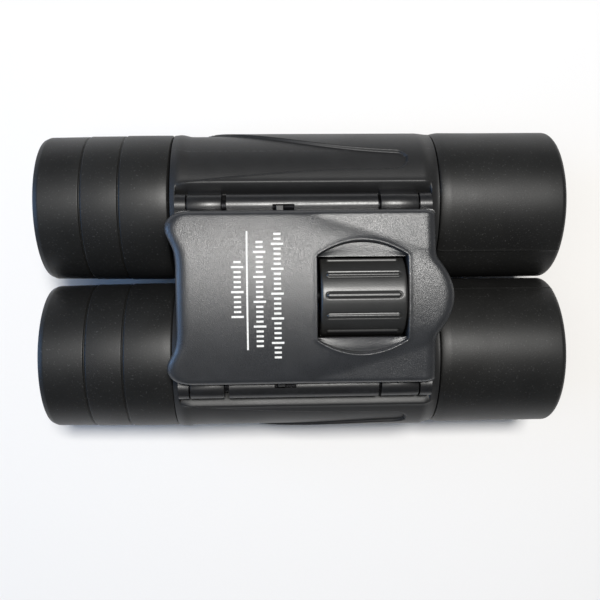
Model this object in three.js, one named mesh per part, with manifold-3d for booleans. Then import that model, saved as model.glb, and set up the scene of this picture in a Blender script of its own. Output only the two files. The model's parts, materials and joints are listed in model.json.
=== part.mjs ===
// Compact roof-prism binoculars with two hinges, folded and lying on their barrels.
// Millimetres. +X runs to the objectives, +Y to the user's left, +Z up; the origin is on the
// table, under the middle of the folded pair.
import * as THREE from 'three';
import { mergeVertices } from 'three/addons/utils/BufferGeometryUtils.js';
import Module from 'manifold-3d';

const wasm = await Module();
wasm.setup();

// ---------------------------------------------------------------- driving dimensions
const BARREL_R = 16.75;        // objective sleeve, the widest round of a barrel
const SHELL_R = 16.7;          // moulded shell round the prisms
const SHOULDER = 0.8;          // how far the shell stands proud beside its hinge
const EYECUP_R = 16.5;
const REAR_X = -57;            // rim of the eyecup
const FRONT_X = 57;            // rim of the objective sleeve
const SHELL_X = [-28, 29.2];
const ARM = 17;                // barrel axis to hinge axis
const HINGE_SPAN = 19.1;       // hinge axis to the middle of the bridge
const LEFT_SWING = THREE.MathUtils.degToRad(3.75);    // arm past upright, outwards
const RIGHT_SWING = THREE.MathUtils.degToRad(18.75);  // arm leaning inwards
const KNUCKLE_R = 2.6;
const GROOVE_R = 3.0;          // room in the shell round a knuckle
const HINGE_WALL = 0.9;        // shell left under that groove
const PIN_R = 1.2;
const PIN_BORE_R = 1.35;
const REAR_EAR_X = [-26.8, -24.6];
const REAR_KNUCKLE_X = [-24.3, -17.1];
const MIDDLE_KNUCKLE_X = [-16.1, 15.6];
const FRONT_KNUCKLE_X = [16.2, 24.2];
const FRONT_EAR_X = [24.5, 27.0];
const GROOVE_X = [-27.2, 27.4];

const WHEEL_Z = 2.0;           // focus axis above the hinge axes
const WHEEL_R = 8.7;
const WHEEL_X = [3.0, 20.4];
const WHEEL_RIBS = 12;
const WHEEL_ROOM = 0.4;
const WHEEL_ROOM_X = [2.2, 21.3];

const COVER_HALF = 17.9;       // half the bridge cover's width
const COVER_TOP = 9.0;         // crown of the cover above the hinge axes
const COVER_EDGE = 7.6;        // and its long edges
const COVER_BOTTOM = 2.75;
const COVER_CEILING = 5.3;
const COVER_WALL = 1.5;
const WINDOW_X = [2.4, 20.8];
const WINDOW_HALF = 9.15;
const WINDOW_LEDGE = 6.4;
const FLOOR_Z = [1.0, 2.0];    // floor of the bridge frame
const FRAME_HALF = 15.9;
const KEEL_HALF = 4.0;
const KEEL_BOTTOM = -1.8;

const CARRIAGE_X = [-5.8, -4.2];
const FOCUS_TRAVEL = [-0.4, 2.0];
const ARM_LEG_X = [18.9, 20.5];
const ROD_X = [-8.4, 24.9];
const RIGHT_EYEPIECE_SHIFT = 0.3;  // the right eyepiece is screwed in a little further

const ROUND = 48;              // sides of the large rounds: one lies flat on the table
const INNER = 20;
const SMALL = 10;
const PIN_SIDES = 10;
const CUT = 60;                // longer than anything it cuts

// ---------------------------------------------------------------- where the bodies stand
const roll = Math.asin(ARM * (Math.cos(LEFT_SWING) - Math.cos(RIGHT_SWING)) / (2 * HINGE_SPAN));
const hingesApart = 2 * HINGE_SPAN * Math.cos(roll);
const axesApart = hingesApart + ARM * (Math.sin(LEFT_SWING) - Math.sin(RIGHT_SWING));
const leftAxis = new THREE.Vector2(axesApart / 2, BARREL_R);
const rightAxis = new THREE.Vector2(-axesApart / 2, BARREL_R);
const leftHinge = new THREE.Vector2(leftAxis.x - ARM * Math.sin(LEFT_SWING),
  leftAxis.y + ARM * Math.cos(LEFT_SWING));
const rightHinge = new THREE.Vector2(rightAxis.x - ARM * Math.sin(RIGHT_SWING),
  rightAxis.y + ARM * Math.cos(RIGHT_SWING));
const bridgeMiddle = leftHinge.clone().add(rightHinge).multiplyScalar(0.5);

// The focus axis as the right barrel sees it, in (outwards, towards the hinge).
const wheelWorld = new THREE.Vector2(0, WHEEL_Z).rotateAround(new THREE.Vector2(), roll)
  .add(bridgeMiddle);
const fromRight = wheelWorld.clone().sub(rightAxis).rotateAround(new THREE.Vector2(), -RIGHT_SWING);
const wheelFromBarrel = new THREE.Vector2(-fromRight.x, fromRight.y);

// ---------------------------------------------------------------- materials
const matte = (color, roughness, metalness = 0) =>
  new THREE.MeshStandardMaterial({ color, roughness, metalness });
const finishes = {
  shellPlastic: matte(0x2b2c2d, 0.55),
  coverPlastic: matte(0x33353a, 0.45),
  rubber: matte(0x242524, 0.8),
  wheelRubber: matte(0x2a2b2b, 0.6),
  blackPlastic: matte(0x141414, 0.6),
  anodised: matte(0x1c1d1f, 0.4, 0.8),
  steel: matte(0xb8babd, 0.3, 1),
  brass: matte(0xb5924c, 0.35, 1),
  glass: new THREE.MeshStandardMaterial({ color: 0xb9cdd6, roughness: 0.05, transparent: true,
    opacity: 0.4 }),
};

// ---------------------------------------------------------------- helpers
/** The geometry with shared corners merged, flat triangles dropped and its faces turned out. */
function closed(geometry) {
  const bare = new THREE.BufferGeometry().setAttribute('position', geometry.getAttribute('position'));
  if (geometry.index) bare.setIndex(geometry.index);
  const merged = mergeVertices(bare, 1e-4);
  const from = merged.index.array;
  const p = merged.getAttribute('position');
  const at = (i) => new THREE.Vector3().fromBufferAttribute(p, i);
  const kept = [];
  let volume = 0;
  for (let i = 0; i < from.length; i += 3) {
    const [a, b, c] = [from[i], from[i + 1], from[i + 2]];
    if (a === b || b === c || a === c) continue;
    kept.push(a, b, c);
    volume += at(a).dot(at(b).cross(at(c)));
  }
  if (volume < 0) {
    for (let i = 0; i < kept.length; i += 3) [kept[i + 1], kept[i + 2]] = [kept[i + 2], kept[i + 1]];
  }
  merged.setIndex(kept);
  return merged;
}

function solid(geometry) {
  const g = closed(geometry);
  return new wasm.Manifold(new wasm.Mesh({
    numProp: 3,
    vertProperties: new Float32Array(g.getAttribute('position').array),
    triVerts: new Uint32Array(g.index.array),
  }));
}

function geometryOf(manifold) {
  const mesh = manifold.getMesh();
  return new THREE.BufferGeometry()
    .setAttribute('position', new THREE.BufferAttribute(mesh.vertProperties, 3))
    .setIndex(new THREE.BufferAttribute(mesh.triVerts, 1));
}

const join = (...parts) => parts.reduce((a, b) => a.add(b));

/** A turned piece about the X axis. points are [x, radius]; its sides touch each radius. */
function turned(points, sides = INNER, y = 0, z = 0) {
  const grow = 1 / Math.cos(Math.PI / sides);
  const closes = points[0][1] > 0;
  const profile = (closes ? [...points, points[0]] : points)
    .map(([x, r]) => new THREE.Vector2(r * grow, x));
  const g = new THREE.LatheGeometry(profile, sides);
  g.rotateZ(-Math.PI / 2);   // the lathe's axis, +Y, becomes +X
  return g.translate(0, y, z);
}

const rod = (x, r, sides = PIN_SIDES, y = 0, z = 0) =>
  turned([[x[0], 0], [x[0], r], [x[1], r], [x[1], 0]], sides, y, z);

const box = (x, y, z) =>
  new THREE.BoxGeometry(x[1] - x[0], y[1] - y[0], z[1] - z[0])
    .translate((x[0] + x[1]) / 2, (y[0] + y[1]) / 2, (z[0] + z[1]) / 2);

/** An outline in (y, z) run along x, with its ends bevelled by that much. */
function alongX(shape, x, bevel = 0) {
  const g = new THREE.ExtrudeGeometry(shape, {
    depth: x[1] - x[0] - 2 * bevel, bevelEnabled: bevel > 0, bevelThickness: bevel,
    bevelSize: bevel, bevelOffset: -bevel, bevelSegments: 1, curveSegments: 12,
  });
  // The outline's x, y and depth become y, z and x.
  g.applyMatrix4(new THREE.Matrix4().set(0, 0, 1, x[0] + bevel, 1, 0, 0, 0, 0, 1, 0, 0, 0, 0, 0, 1));
  return g;
}

/** An outline in (x, y) run up z. */
const upZ = (shape, z) =>
  new THREE.ExtrudeGeometry(shape, { depth: z[1] - z[0], bevelEnabled: false, curveSegments: 8 })
    .translate(0, 0, z[0]);

const outline = (...points) => new THREE.Shape(points.map(([a, b]) => new THREE.Vector2(a, b)));

function add(group, name, geometry, material) {
  const mesh = new THREE.Mesh(closed(geometry), material);
  mesh.name = name;
  group.add(mesh);
}

// ---------------------------------------------------------------- barrels
/** The shell's round with its shoulder, in (outwards, towards the hinge). */
function shellOutline() {
  const points = [];
  for (let i = 0; i < ROUND; i++) {
    const angle = (i * 2 * Math.PI) / ROUND;   // from the hinge, outwards
    const degrees = THREE.MathUtils.radToDeg(angle);
    const raised = degrees < 180 ? 1 - THREE.MathUtils.smoothstep(degrees, 30, 80) : 0;
    const r = (SHELL_R + SHOULDER * raised) / Math.cos(Math.PI / ROUND);
    points.push([r * Math.sin(angle), r * Math.cos(angle)]);
  }
  return outline(...points);
}

/** The shallow thumb grip: a drop that narrows towards the objective. */
function thumbGrip() {
  const lean = THREE.MathUtils.degToRad(-36);
  const drop = new THREE.Shape();
  drop.moveTo(-26, 14.5);
  drop.quadraticCurveTo(-4, 3.2, 22, 2.4);
  drop.absarc(22, 0.1, 2.3, Math.PI / 2, -Math.PI / 2, true);
  drop.quadraticCurveTo(-4, -1.6, -26, -5.8);
  const depth = 0.2;
  const prism = upZ(drop, [10, CUT]).rotateX(lean);
  return solid(prism).subtract(solid(rod([-CUT, CUT], SHELL_R - depth, ROUND)));
}

function barrelShell() {
  const outer = solid(alongX(shellOutline(), SHELL_X, 0.7));
  const relief = (r, grow) => solid(rod([WHEEL_ROOM_X[0] - grow, WHEEL_ROOM_X[1] + grow], r, INNER,
    wheelFromBarrel.x, wheelFromBarrel.y));
  const reliefR = WHEEL_R + WHEEL_ROOM;
  const groove = solid(rod(GROOVE_X, GROOVE_R, 20, 0, ARM));
  // The bevel that falls from the lip beside the hinge to the knuckles.
  const bevel = solid(alongX(outline([-6, 20], [5.4, 20], [5.4, 16.6], [2.6, 15.1], [-2.6, 15.1],
    [-6, 16.4]), GROOVE_X));
  const knuckles = [REAR_KNUCKLE_X, FRONT_KNUCKLE_X].map((x) => join(
    solid(rod(x, KNUCKLE_R, 20, 0, ARM)),
    solid(alongX(outline([-1.5, 14], [4.6, 14], [5.2, 16.2], [1.9, 18.5], [-1.5, 18.5]), x)),
  ));
  let body = outer.subtract(relief(reliefR, 0)).subtract(groove).subtract(bevel)
    .subtract(thumbGrip());
  body = join(body, ...knuckles);
  const cavity = solid(rod([SHELL_X[0] - 1, -25], 13.1, ROUND))
    .add(solid(rod([-25.2, SHELL_X[1] + 1], 14.75, ROUND)))
    .subtract(solid(rod([GROOVE_X[0] - 0.8, GROOVE_X[1] - 4], GROOVE_R + HINGE_WALL, 20, 0, ARM)))
    .subtract(relief(reliefR + 1.2, 1));
  const slot = solid(box([ARM_LEG_X[0] + FOCUS_TRAVEL[0] - 0.2, ARM_LEG_X[1] + FOCUS_TRAVEL[1] + 0.4],
    [-1.9, 1.9], [12, ARM + 0.2]));
  const bore = solid(rod([REAR_KNUCKLE_X[0] - 2, FRONT_KNUCKLE_X[1] + 2], PIN_BORE_R, PIN_SIDES, 0, ARM));
  return geometryOf(body.subtract(cavity).subtract(slot).subtract(bore));
}

const lens = (x, r, front, rear, steps = 3) => {
  const points = [];
  for (let i = 0; i <= steps; i++) points.push([x[1] + front * (1 - (i / steps) ** 2), (r * i) / steps]);
  for (let i = steps; i >= 0; i--) points.push([x[0] - rear * (1 - (i / steps) ** 2), (r * i) / steps]);
  return turned(points, INNER);
};

/** The prism's side outline in (x, z), run across y. */
function prism(points, half) {
  const g = new THREE.ExtrudeGeometry(outline(...points), { depth: 2 * half, bevelEnabled: false });
  return g.rotateX(Math.PI / 2).translate(0, half, 0);
}

function roofPrism() {
  const half = 7.3;
  const block = solid(prism([[-3.2, 8.0], [-17.6, 8.0], [-17.6, -7.2], [-10.6, -7.2]], half));
  // Two slopes meet in the roof edge along the prism's top.
  const slopeOutline = (side) => outline([0, 8.05], [side * 9, 3.2], [side * 9, 12], [0, 12]);
  const slope = (side) => solid(alongX(slopeOutline(side), [-CUT, CUT]));
  return geometryOf(block.subtract(slope(1)).subtract(slope(-1)));
}

/** Everything in one barrel that turns about its hinge and doesn't slide. */
function barrelParts(group, side) {
  const own = (name, geometry, material) => add(group, side + '_' + name, geometry, material);
  own('barrel_shell', barrelShell(), finishes.shellPlastic);
  own('objective_tube', turned([[23.7, 13.3], [23.7, 14.1], [29.5, 14.1], [29.5, 15.6], [55.3, 15.6],
    [55.3, 14.75], [31.4, 14.75], [30.2, 13.3]]), finishes.anodised);
  own('objective_sleeve', turned([[29.7, 15.9], [29.7, 16.3], [30.3, BARREL_R], [56.1, BARREL_R],
    [FRONT_X, 16.1], [FRONT_X, 14.5], [56.4, 14.1], [55.5, 14.1], [55.5, 15.9]], ROUND), finishes.rubber);
  own('prism_cage', turned([[-20.8, 7], [-20.8, 12.9], [-19.2, 12.9], [-19.2, 12.3], [6.8, 12.3],
    [6.8, 11.3], [-19.4, 11.3], [-19.4, 7]]), finishes.blackPlastic);
  own('roof_prism', roofPrism(), finishes.glass);
  const wedge = [[5.4, 7.6], [-2.8, 7.6], [-10.2, -7.4], [5.4, -7.4]];
  own('half_penta_prism', prism(wedge, 7.3), finishes.glass);
  own('prism_clip', box([-14, 3], [-2.6, 2.6], [8.4, 9.0]), finishes.steel);
  const stop = [[-27.5, 6.5], [-27.5, 11.8], [-26.7, 11.8], [-26.7, 6.5]];
  own('field_stop', turned(stop, INNER), finishes.anodised);
  own('eyepiece_tube', turned([[-44.5, 12.0], [-44.5, 12.7], [-22.6, 12.7], [-22.6, 12.0]]),
    finishes.blackPlastic);
}

/** The lens cell of an eyepiece, which slides in the eyepiece tube. */
function eyepieceCell(group, side) {
  const own = (name, geometry, material) => add(group, side + '_' + name, geometry, material);
  own('eyepiece_cell', turned([[-46.4, 8.75], [-46.4, 11.8], [-29.5, 11.8], [-29.5, 8.75], [-36.4, 8.75],
    [-36.4, 7.7], [-42.2, 7.7], [-42.2, 8.75]]), finishes.anodised);
  own('eye_lens', lens([-45.8, -43.4], 8.55, 1.0, 1.4), finishes.glass);
  own('field_lens', lens([-33.9, -31.9], 8.55, 0.8, 1.6), finishes.glass);
}

/** The outside of an eyepiece, which the hand turns and the eye rests on. */
function eyepieceOutside(group, side) {
  add(group, side + '_eyepiece_cap', turned([[-48.6, 8.4], [-48.6, 14.0], [-48.2, 14.4], [-29.0, 14.4],
    [-29.0, 13.15], [-47.0, 13.15], [-47.0, 8.4]]), finishes.blackPlastic);
  add(group, side + '_eyecup', turned([[-28.9, 14.7], [-28.9, 16.0], [-29.4, EYECUP_R],
    [-56.4, EYECUP_R], [REAR_X, 15.9], [REAR_X, 15.2], [-50.2, 13.7], [-48.9, 12.9], [-48.8, 14.7]], ROUND),
    finishes.rubber);
}

/** The objective cell and the linkage that carries it along the barrel. */
function objectiveSlide(group, side) {
  const own = (name, geometry, material) => add(group, side + '_' + name, geometry, material);
  own('objective_cell', turned([[36.5, 12.2], [36.5, 13.45], [38.4, 13.45], [38.9, 14.5], [48.4, 14.5],
    [48.4, 14.05], [41.0, 14.05], [41.0, 13.0], [38.0, 12.2]]), finishes.anodised);
  own('objective_crown_lens', lens([43.6, 45.2], 13.85, 1.7, 1.7), finishes.glass);
  own('objective_flint_lens', lens([41.2, 43.35], 13.85, -1.7, -0.1), finishes.glass);
  const ring = [[45.5, 13.1], [45.5, 13.85], [48.2, 13.85], [48.2, 12.9]];
  own('objective_lock_ring', turned(ring), finishes.anodised);
  const strip = box([ARM_LEG_X[0] - 0.5, 36.3], [-2, 2], [12.15, 12.9]);
  const leg = box(ARM_LEG_X, [-1.6, 1.6], [12.15, ARM]);
  const seat = rod([ARM_LEG_X[0] - 1, ARM_LEG_X[1] + 1], 0.9, PIN_SIDES, 0, ARM);
  own('focus_arm', geometryOf(solid(strip).add(solid(leg)).subtract(solid(seat))), finishes.steel);
  const neck = (x) => [
    [x[0] - 0.15, PIN_R], [x[0] - 0.15, 0.75], [x[1] + 0.15, 0.75], [x[1] + 0.15, PIN_R],
  ];
  own('focus_rod', turned([[ROD_X[0], 0], [ROD_X[0], PIN_R], ...neck(CARRIAGE_X), ...neck(ARM_LEG_X),
    [ROD_X[1], PIN_R], [ROD_X[1], 0]], PIN_SIDES, 0, ARM), finishes.steel);
}

// ---------------------------------------------------------------- bridge
const SCREW_X = [-21.2, 23.6];
const SCREW_Y = 6.2;
const screwPlaces = SCREW_X.flatMap((x) => [SCREW_Y, -SCREW_Y].map((y) => [x, y]));
const BUSH_X = [[-23.6, -20.6], [21.8, 24.6]];

/** The cover seen from above: lobes beside a waist at the rear, and a tongue in front. */
function coverOutline() {
  const s = new THREE.Shape();
  s.moveTo(-25.4, -COVER_HALF);
  s.lineTo(26.3, -COVER_HALF);
  s.quadraticCurveTo(26.9, -COVER_HALF, 26.9, -COVER_HALF + 0.8);
  s.lineTo(26.9, -7.2);
  s.quadraticCurveTo(30.6, -5, 30.6, 0);
  s.quadraticCurveTo(30.6, 5, 26.9, 7.2);
  s.lineTo(26.9, COVER_HALF - 0.8);
  s.quadraticCurveTo(26.9, COVER_HALF, 26.3, COVER_HALF);
  s.lineTo(-25.4, COVER_HALF);
  s.quadraticCurveTo(-28.4, 17.6, -28.3, 14.5);
  s.quadraticCurveTo(-28.0, 12.4, -27.4, 10.8);
  s.quadraticCurveTo(-26.4, 8, -26.4, 6);
  s.lineTo(-26.4, -6);
  s.quadraticCurveTo(-26.4, -8, -27.4, -10.8);
  s.quadraticCurveTo(-28.0, -12.4, -28.3, -14.5);
  s.quadraticCurveTo(-28.4, -17.6, -25.4, -COVER_HALF);
  return s;
}

/** The cover seen along the barrels: a crowned top over upright sides. */
function coverSection() {
  const points = [[-COVER_HALF, COVER_BOTTOM]];
  const steps = 12;
  const soft = 0.7;
  for (let i = 0; i <= steps; i++) {
    const y = -COVER_HALF + (2 * COVER_HALF * i) / steps;
    const drop = i === 0 || i === steps ? soft : 0;
    points.push([y, COVER_TOP - (COVER_TOP - COVER_EDGE) * (y / COVER_HALF) ** 2 - drop]);
  }
  points.splice(2, 0, [-COVER_HALF + soft, COVER_EDGE + 0.05]);
  points.splice(points.length - 1, 0, [COVER_HALF - soft, COVER_EDGE + 0.05]);
  points.push([COVER_HALF, COVER_BOTTOM]);
  return outline(...points.reverse());
}

function windowOutline() {
  const [x0, x1] = WINDOW_X;
  const s = new THREE.Shape();
  s.moveTo(x0, -8.6);
  s.quadraticCurveTo((x0 + x1) / 2, -14.2, x1, -8.6);
  s.lineTo(x1, 8.6);
  s.quadraticCurveTo((x0 + x1) / 2, 14.2, x0, 8.6);
  s.closePath();
  return s;
}

function bridgeCover() {
  const block = solid(upZ(coverOutline(), [0, 12])).intersect(solid(alongX(coverSection(), [-40, 40])));
  const inside = outline([-23.9, -COVER_HALF + COVER_WALL], [25.4, -COVER_HALF + COVER_WALL],
    [25.4, COVER_HALF - COVER_WALL], [-23.9, COVER_HALF - COVER_WALL]);
  const cavity = solid(upZ(inside, [0, COVER_CEILING]));
  // The front corners lie flat beside the crown.
  const corner = (side) => solid(upZ(outline([-3, side * 18.4], [27.2, side * 9.4], [32, side * 8.2],
    [32, side * 20], [-3, side * 20]), [COVER_EDGE, 12]));
  const ledge = solid(upZ(windowOutline(), [WINDOW_LEDGE, 12]));
  const opening = solid(box(WINDOW_X, [-WINDOW_HALF, WINDOW_HALF], [0, 12]));
  const rimX = [WINDOW_X[0] - 0.6, WINDOW_X[1] + 0.6];
  const rim = solid(box(rimX, [-11, 11], [COVER_CEILING - 1, COVER_CEILING + 0.5]));
  const posts = screwPlaces.map(([x, y]) => {
    const post = new THREE.CylinderGeometry(2.1, 2.1, COVER_CEILING - 2, SMALL).rotateX(Math.PI / 2);
    return solid(post.translate(x, y, (COVER_CEILING + 0.5 + 2.5) / 2));
  });
  const bores = screwPlaces.map(([x, y]) => solid(
    new THREE.CylinderGeometry(0.95, 0.95, 6, PIN_SIDES).rotateX(Math.PI / 2).translate(x, y, 3)));
  let body = block.subtract(cavity).subtract(corner(1)).subtract(corner(-1)).subtract(ledge);
  body = join(body, rim, ...posts).subtract(opening);
  return geometryOf(bores.reduce((a, b) => a.subtract(b), body));
}

/** A span of y on one side of the middle. */
const mirrored = (side, inner, outer) => (side > 0 ? [inner, outer] : [-outer, -inner]);

function bridgeFrame() {
  const floor = solid(box([-23.6, 25.1], [-FRAME_HALF, FRAME_HALF], FLOOR_Z));
  const wall = (side) => solid(box([-23.6, 25.1],
    mirrored(side, FRAME_HALF - 1.2, FRAME_HALF), [FLOOR_Z[0], 2.6]));
  const keel = solid(box([-23.8, 1.4], [-KEEL_HALF, KEEL_HALF], [KEEL_BOTTOM, FLOOR_Z[1]]));
  const channel = solid(box([-19.8, 0.6], [-3.2, 3.2], [-1.1, 8]));
  const blocks = BUSH_X.map((x) => solid(box([x[0] - 0.2, x[1] + 0.3], [-KEEL_HALF, KEEL_HALF],
    [KEEL_BOTTOM, 4.9])));
  const bearings = solid(rod([-24.6, 25.6], 2.7, SMALL, 0, WHEEL_Z));
  const wheelBay = solid(box(WHEEL_ROOM_X, [-9.3, 9.3], [-10, 12]));
  const knuckle = (side) => [REAR_EAR_X, MIDDLE_KNUCKLE_X, FRONT_EAR_X].map((x) => join(
    solid(rod(x, KNUCKLE_R, 20, side * HINGE_SPAN, 0)),
    solid(box(x, mirrored(side, FRAME_HALF - 1, HINGE_SPAN - 0.6), [0.95, 2.5])),
    solid(box([Math.max(x[0], -25.9), Math.max(x[1], -23)], mirrored(side, 10, FRAME_HALF), FLOOR_Z)),
  ));
  const bore = (side) => solid(rod([-25.9, 28], PIN_BORE_R, PIN_SIDES, side * HINGE_SPAN, 0));
  const forkRoomX = [CARRIAGE_X[0] + FOCUS_TRAVEL[0] - 0.3, CARRIAGE_X[1] + FOCUS_TRAVEL[1] + 0.3];
  const forkRoom = (side) => solid(box(forkRoomX,
    mirrored(side, 14.2, HINGE_SPAN + 0.2), [-3, 6]));
  const holes = screwPlaces.map(([x, y]) => solid(
    new THREE.CylinderGeometry(1.0, 1.0, 4, PIN_SIDES).rotateX(Math.PI / 2).translate(x, y, 1.5)));
  const body = join(floor, wall(1), wall(-1), keel, ...blocks, ...knuckle(1), ...knuckle(-1));
  const cuts = [channel, bearings, wheelBay, bore(1), bore(-1), forkRoom(1), forkRoom(-1), ...holes];
  return geometryOf(cuts.reduce((a, b) => a.subtract(b), body));
}

function screw([x, y]) {
  const head = [[-0.95, 0], [-0.95, 1.6], [0, 1.6], [0, 0.75], [4.1, 0.75], [4.1, 0]]
    .map(([at, r]) => new THREE.Vector2(r, at));
  return new THREE.LatheGeometry(head, PIN_SIDES).rotateX(Math.PI / 2).translate(x, y, FLOOR_Z[0] - 0.05);
}

function wheelGrip() {
  const points = [];
  const ribHalf = 0.07;   // radians
  for (let i = 0; i < WHEEL_RIBS; i++) {
    const a = (i * 2 * Math.PI) / WHEEL_RIBS;
    for (const [da, r] of [[-2.2 * ribHalf, WHEEL_R - 0.45], [-ribHalf, WHEEL_R], [ribHalf, WHEEL_R],
      [2.2 * ribHalf, WHEEL_R - 0.45]]) {
      points.push([r * Math.sin(a + da), r * Math.cos(a + da)]);
    }
  }
  const round = alongX(outline(...points), WHEEL_X, 0.35).translate(0, 0, WHEEL_Z);
  const bore = rod([0, 25], 6.9, INNER, 0, WHEEL_Z);
  return geometryOf(solid(round).subtract(solid(bore)));
}

function wheelCore() {
  return turned([[WHEEL_X[0] + 0.2, 1.75], [WHEEL_X[0] + 0.2, 6.75], [WHEEL_X[1] - 0.2, 6.75],
    [WHEEL_X[1] - 0.2, 1.75]], INNER, 0, WHEEL_Z);
}

function focusScrew() {
  const thread = [];
  for (let x = -14; x < 0.4; x += 2.4) thread.push([x, 1.6], [x + 0.6, 1.95], [x + 1.2, 1.6]);
  return turned([[-23.4, 0], [-23.4, 1.5], [-14.4, 1.5], ...thread, [2, 1.55], [25.0, 1.55], [25.0, 0]],
    SMALL, 0, WHEEL_Z);
}

/** The yoke that the focus screw drives: its forks hold the necks of both focus rods. */
function focusCarriage() {
  const [x0, x1] = CARRIAGE_X;
  const hub = solid(box([-8.4, -1.8], [-2.9, 2.9], [-0.85, 4.8]));
  const beam = solid(box([x0, x1], [-16.1, 16.1], [2.3, 3.9]));
  const reach = (side, from, to, z) => solid(box([x0, x1], side > 0 ? [from, to] : [-to, -from], z));
  const fork = (side) => reach(side, 14.8, HINGE_SPAN, [1.2, 2.45])
    .add(reach(side, 16.8, HINGE_SPAN, [-1.5, 2.0]));
  const neck = (side) => solid(rod([x0 - 1, x1 + 1], 0.92, PIN_SIDES, side * HINGE_SPAN, 0));
  const seat = solid(rod([-9, -1], 2.45, SMALL, 0, WHEEL_Z));
  return geometryOf(join(hub, beam, fork(1), fork(-1)).subtract(neck(1)).subtract(neck(-1)).subtract(seat));
}

function bridgeParts(group) {
  add(group, 'bridge_frame', bridgeFrame(), finishes.blackPlastic);
  add(group, 'bridge_cover', bridgeCover(), finishes.coverPlastic);
  screwPlaces.forEach((place, i) => add(group, 'bridge_screw_' + (i + 1), screw(place), finishes.steel));
  ['rear', 'front'].forEach((end, i) => add(group, end + '_shaft_bush',
    turned(
      [[BUSH_X[i][0], 1.65], [BUSH_X[i][0], 2.55], [BUSH_X[i][1], 2.55], [BUSH_X[i][1], 1.65]],
      SMALL, 0, WHEEL_Z,
    ),
    finishes.brass));
  [['left', 1], ['right', -1]].forEach(([side, sign]) => add(group, side + '_hinge_pin',
    rod([-25.6, -9.2], PIN_R, PIN_SIDES, sign * HINGE_SPAN, 0), finishes.steel));
}

function focusParts(group) {
  add(group, 'focus_wheel_grip', wheelGrip(), finishes.wheelRubber);
  add(group, 'focus_wheel_core', wheelCore(), finishes.blackPlastic);
  add(group, 'focus_screw', focusScrew(), finishes.steel);
  add(group, 'focus_carriage', focusCarriage(), finishes.blackPlastic);
  add(group, 'focus_nut', turned([[-8.2, 2.12], [-8.2, 2.35], [-2.0, 2.35], [-2.0, 2.12]], SMALL, 0, WHEEL_Z),
    finishes.brass);
}

// ---------------------------------------------------------------- assembly
const binoculars = new THREE.Group();

const bridge = new THREE.Group();
bridge.position.set(0, bridgeMiddle.x, bridgeMiddle.y);
bridge.rotation.x = roll;
bridgeParts(bridge);
focusParts(bridge);
binoculars.add(bridge);

for (const [side, axis, swing, mirror, shift] of [
  ['left', leftAxis, LEFT_SWING, 1, 0],
  ['right', rightAxis, RIGHT_SWING, -1, RIGHT_EYEPIECE_SHIFT],
]) {
  const barrel = new THREE.Group();
  barrel.position.set(0, axis.x, axis.y);
  barrel.rotation.x = swing;
  barrel.scale.y = mirror;
  barrelParts(barrel, side);
  objectiveSlide(barrel, side);
  const eyepiece = new THREE.Group();
  eyepiece.position.x = shift;
  eyepieceCell(eyepiece, side);
  eyepieceOutside(eyepiece, side);
  barrel.add(eyepiece);
  binoculars.add(barrel);
}

export default binoculars;
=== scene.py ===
"""Looks for a pair of folding roof-prism binoculars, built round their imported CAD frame."""
import json
import logging
import math
from dataclasses import dataclass
from enum import Enum
from typing import Any, Optional, Sequence, Union

import bmesh
import bpy
import numpy as np
from mathutils import Matrix, Vector


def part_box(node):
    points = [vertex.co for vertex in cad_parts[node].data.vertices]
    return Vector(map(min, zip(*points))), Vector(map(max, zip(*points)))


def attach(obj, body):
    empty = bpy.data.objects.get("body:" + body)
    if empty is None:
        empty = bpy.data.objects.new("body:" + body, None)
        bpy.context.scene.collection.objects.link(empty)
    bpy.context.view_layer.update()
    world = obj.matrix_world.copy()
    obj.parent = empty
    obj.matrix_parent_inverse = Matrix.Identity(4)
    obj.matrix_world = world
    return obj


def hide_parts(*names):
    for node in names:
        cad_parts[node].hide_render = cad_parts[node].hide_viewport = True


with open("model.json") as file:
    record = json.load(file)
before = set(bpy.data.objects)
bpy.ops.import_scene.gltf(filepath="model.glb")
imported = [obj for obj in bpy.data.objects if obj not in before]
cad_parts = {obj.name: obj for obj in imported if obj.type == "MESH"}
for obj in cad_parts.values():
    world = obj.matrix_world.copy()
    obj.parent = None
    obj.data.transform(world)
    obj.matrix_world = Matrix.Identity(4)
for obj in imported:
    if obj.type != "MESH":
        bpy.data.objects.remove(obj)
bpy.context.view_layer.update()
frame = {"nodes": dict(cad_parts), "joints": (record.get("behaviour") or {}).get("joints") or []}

log = logging.getLogger("binoculars")

MM = 0.001
Profile = list[tuple[float, float]]
Triple = tuple[float, float, float]


# ------------------------------------------------------------------ sides and seats
class Side(Enum):
    """The user's left or right barrel."""

    LEFT = "left"
    RIGHT = "right"

    @property
    def sign(self) -> int:
        """+1 for the barrel on +Y, -1 for its mirror image."""
        return 1 if self is Side.LEFT else -1

    def node(self, part: str) -> str:
        """The CAD node's name for this side's part."""
        return f"{self.value}_{part}"


@dataclass(frozen=True)
class Seat:
    """Where a sub-assembly sits: its own millimetres turned about X and moved into the frame."""

    y: float
    z: float
    roll: float
    mirror: int = 1

    def matrix(self) -> Matrix:
        """The seat's millimetres to the frame's metres."""
        place = Matrix.Translation((0, self.y * MM, self.z * MM)) @ Matrix.Rotation(self.roll, 4, "X")
        return place @ Matrix.Diagonal((MM, self.mirror * MM, MM, 1))


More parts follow.
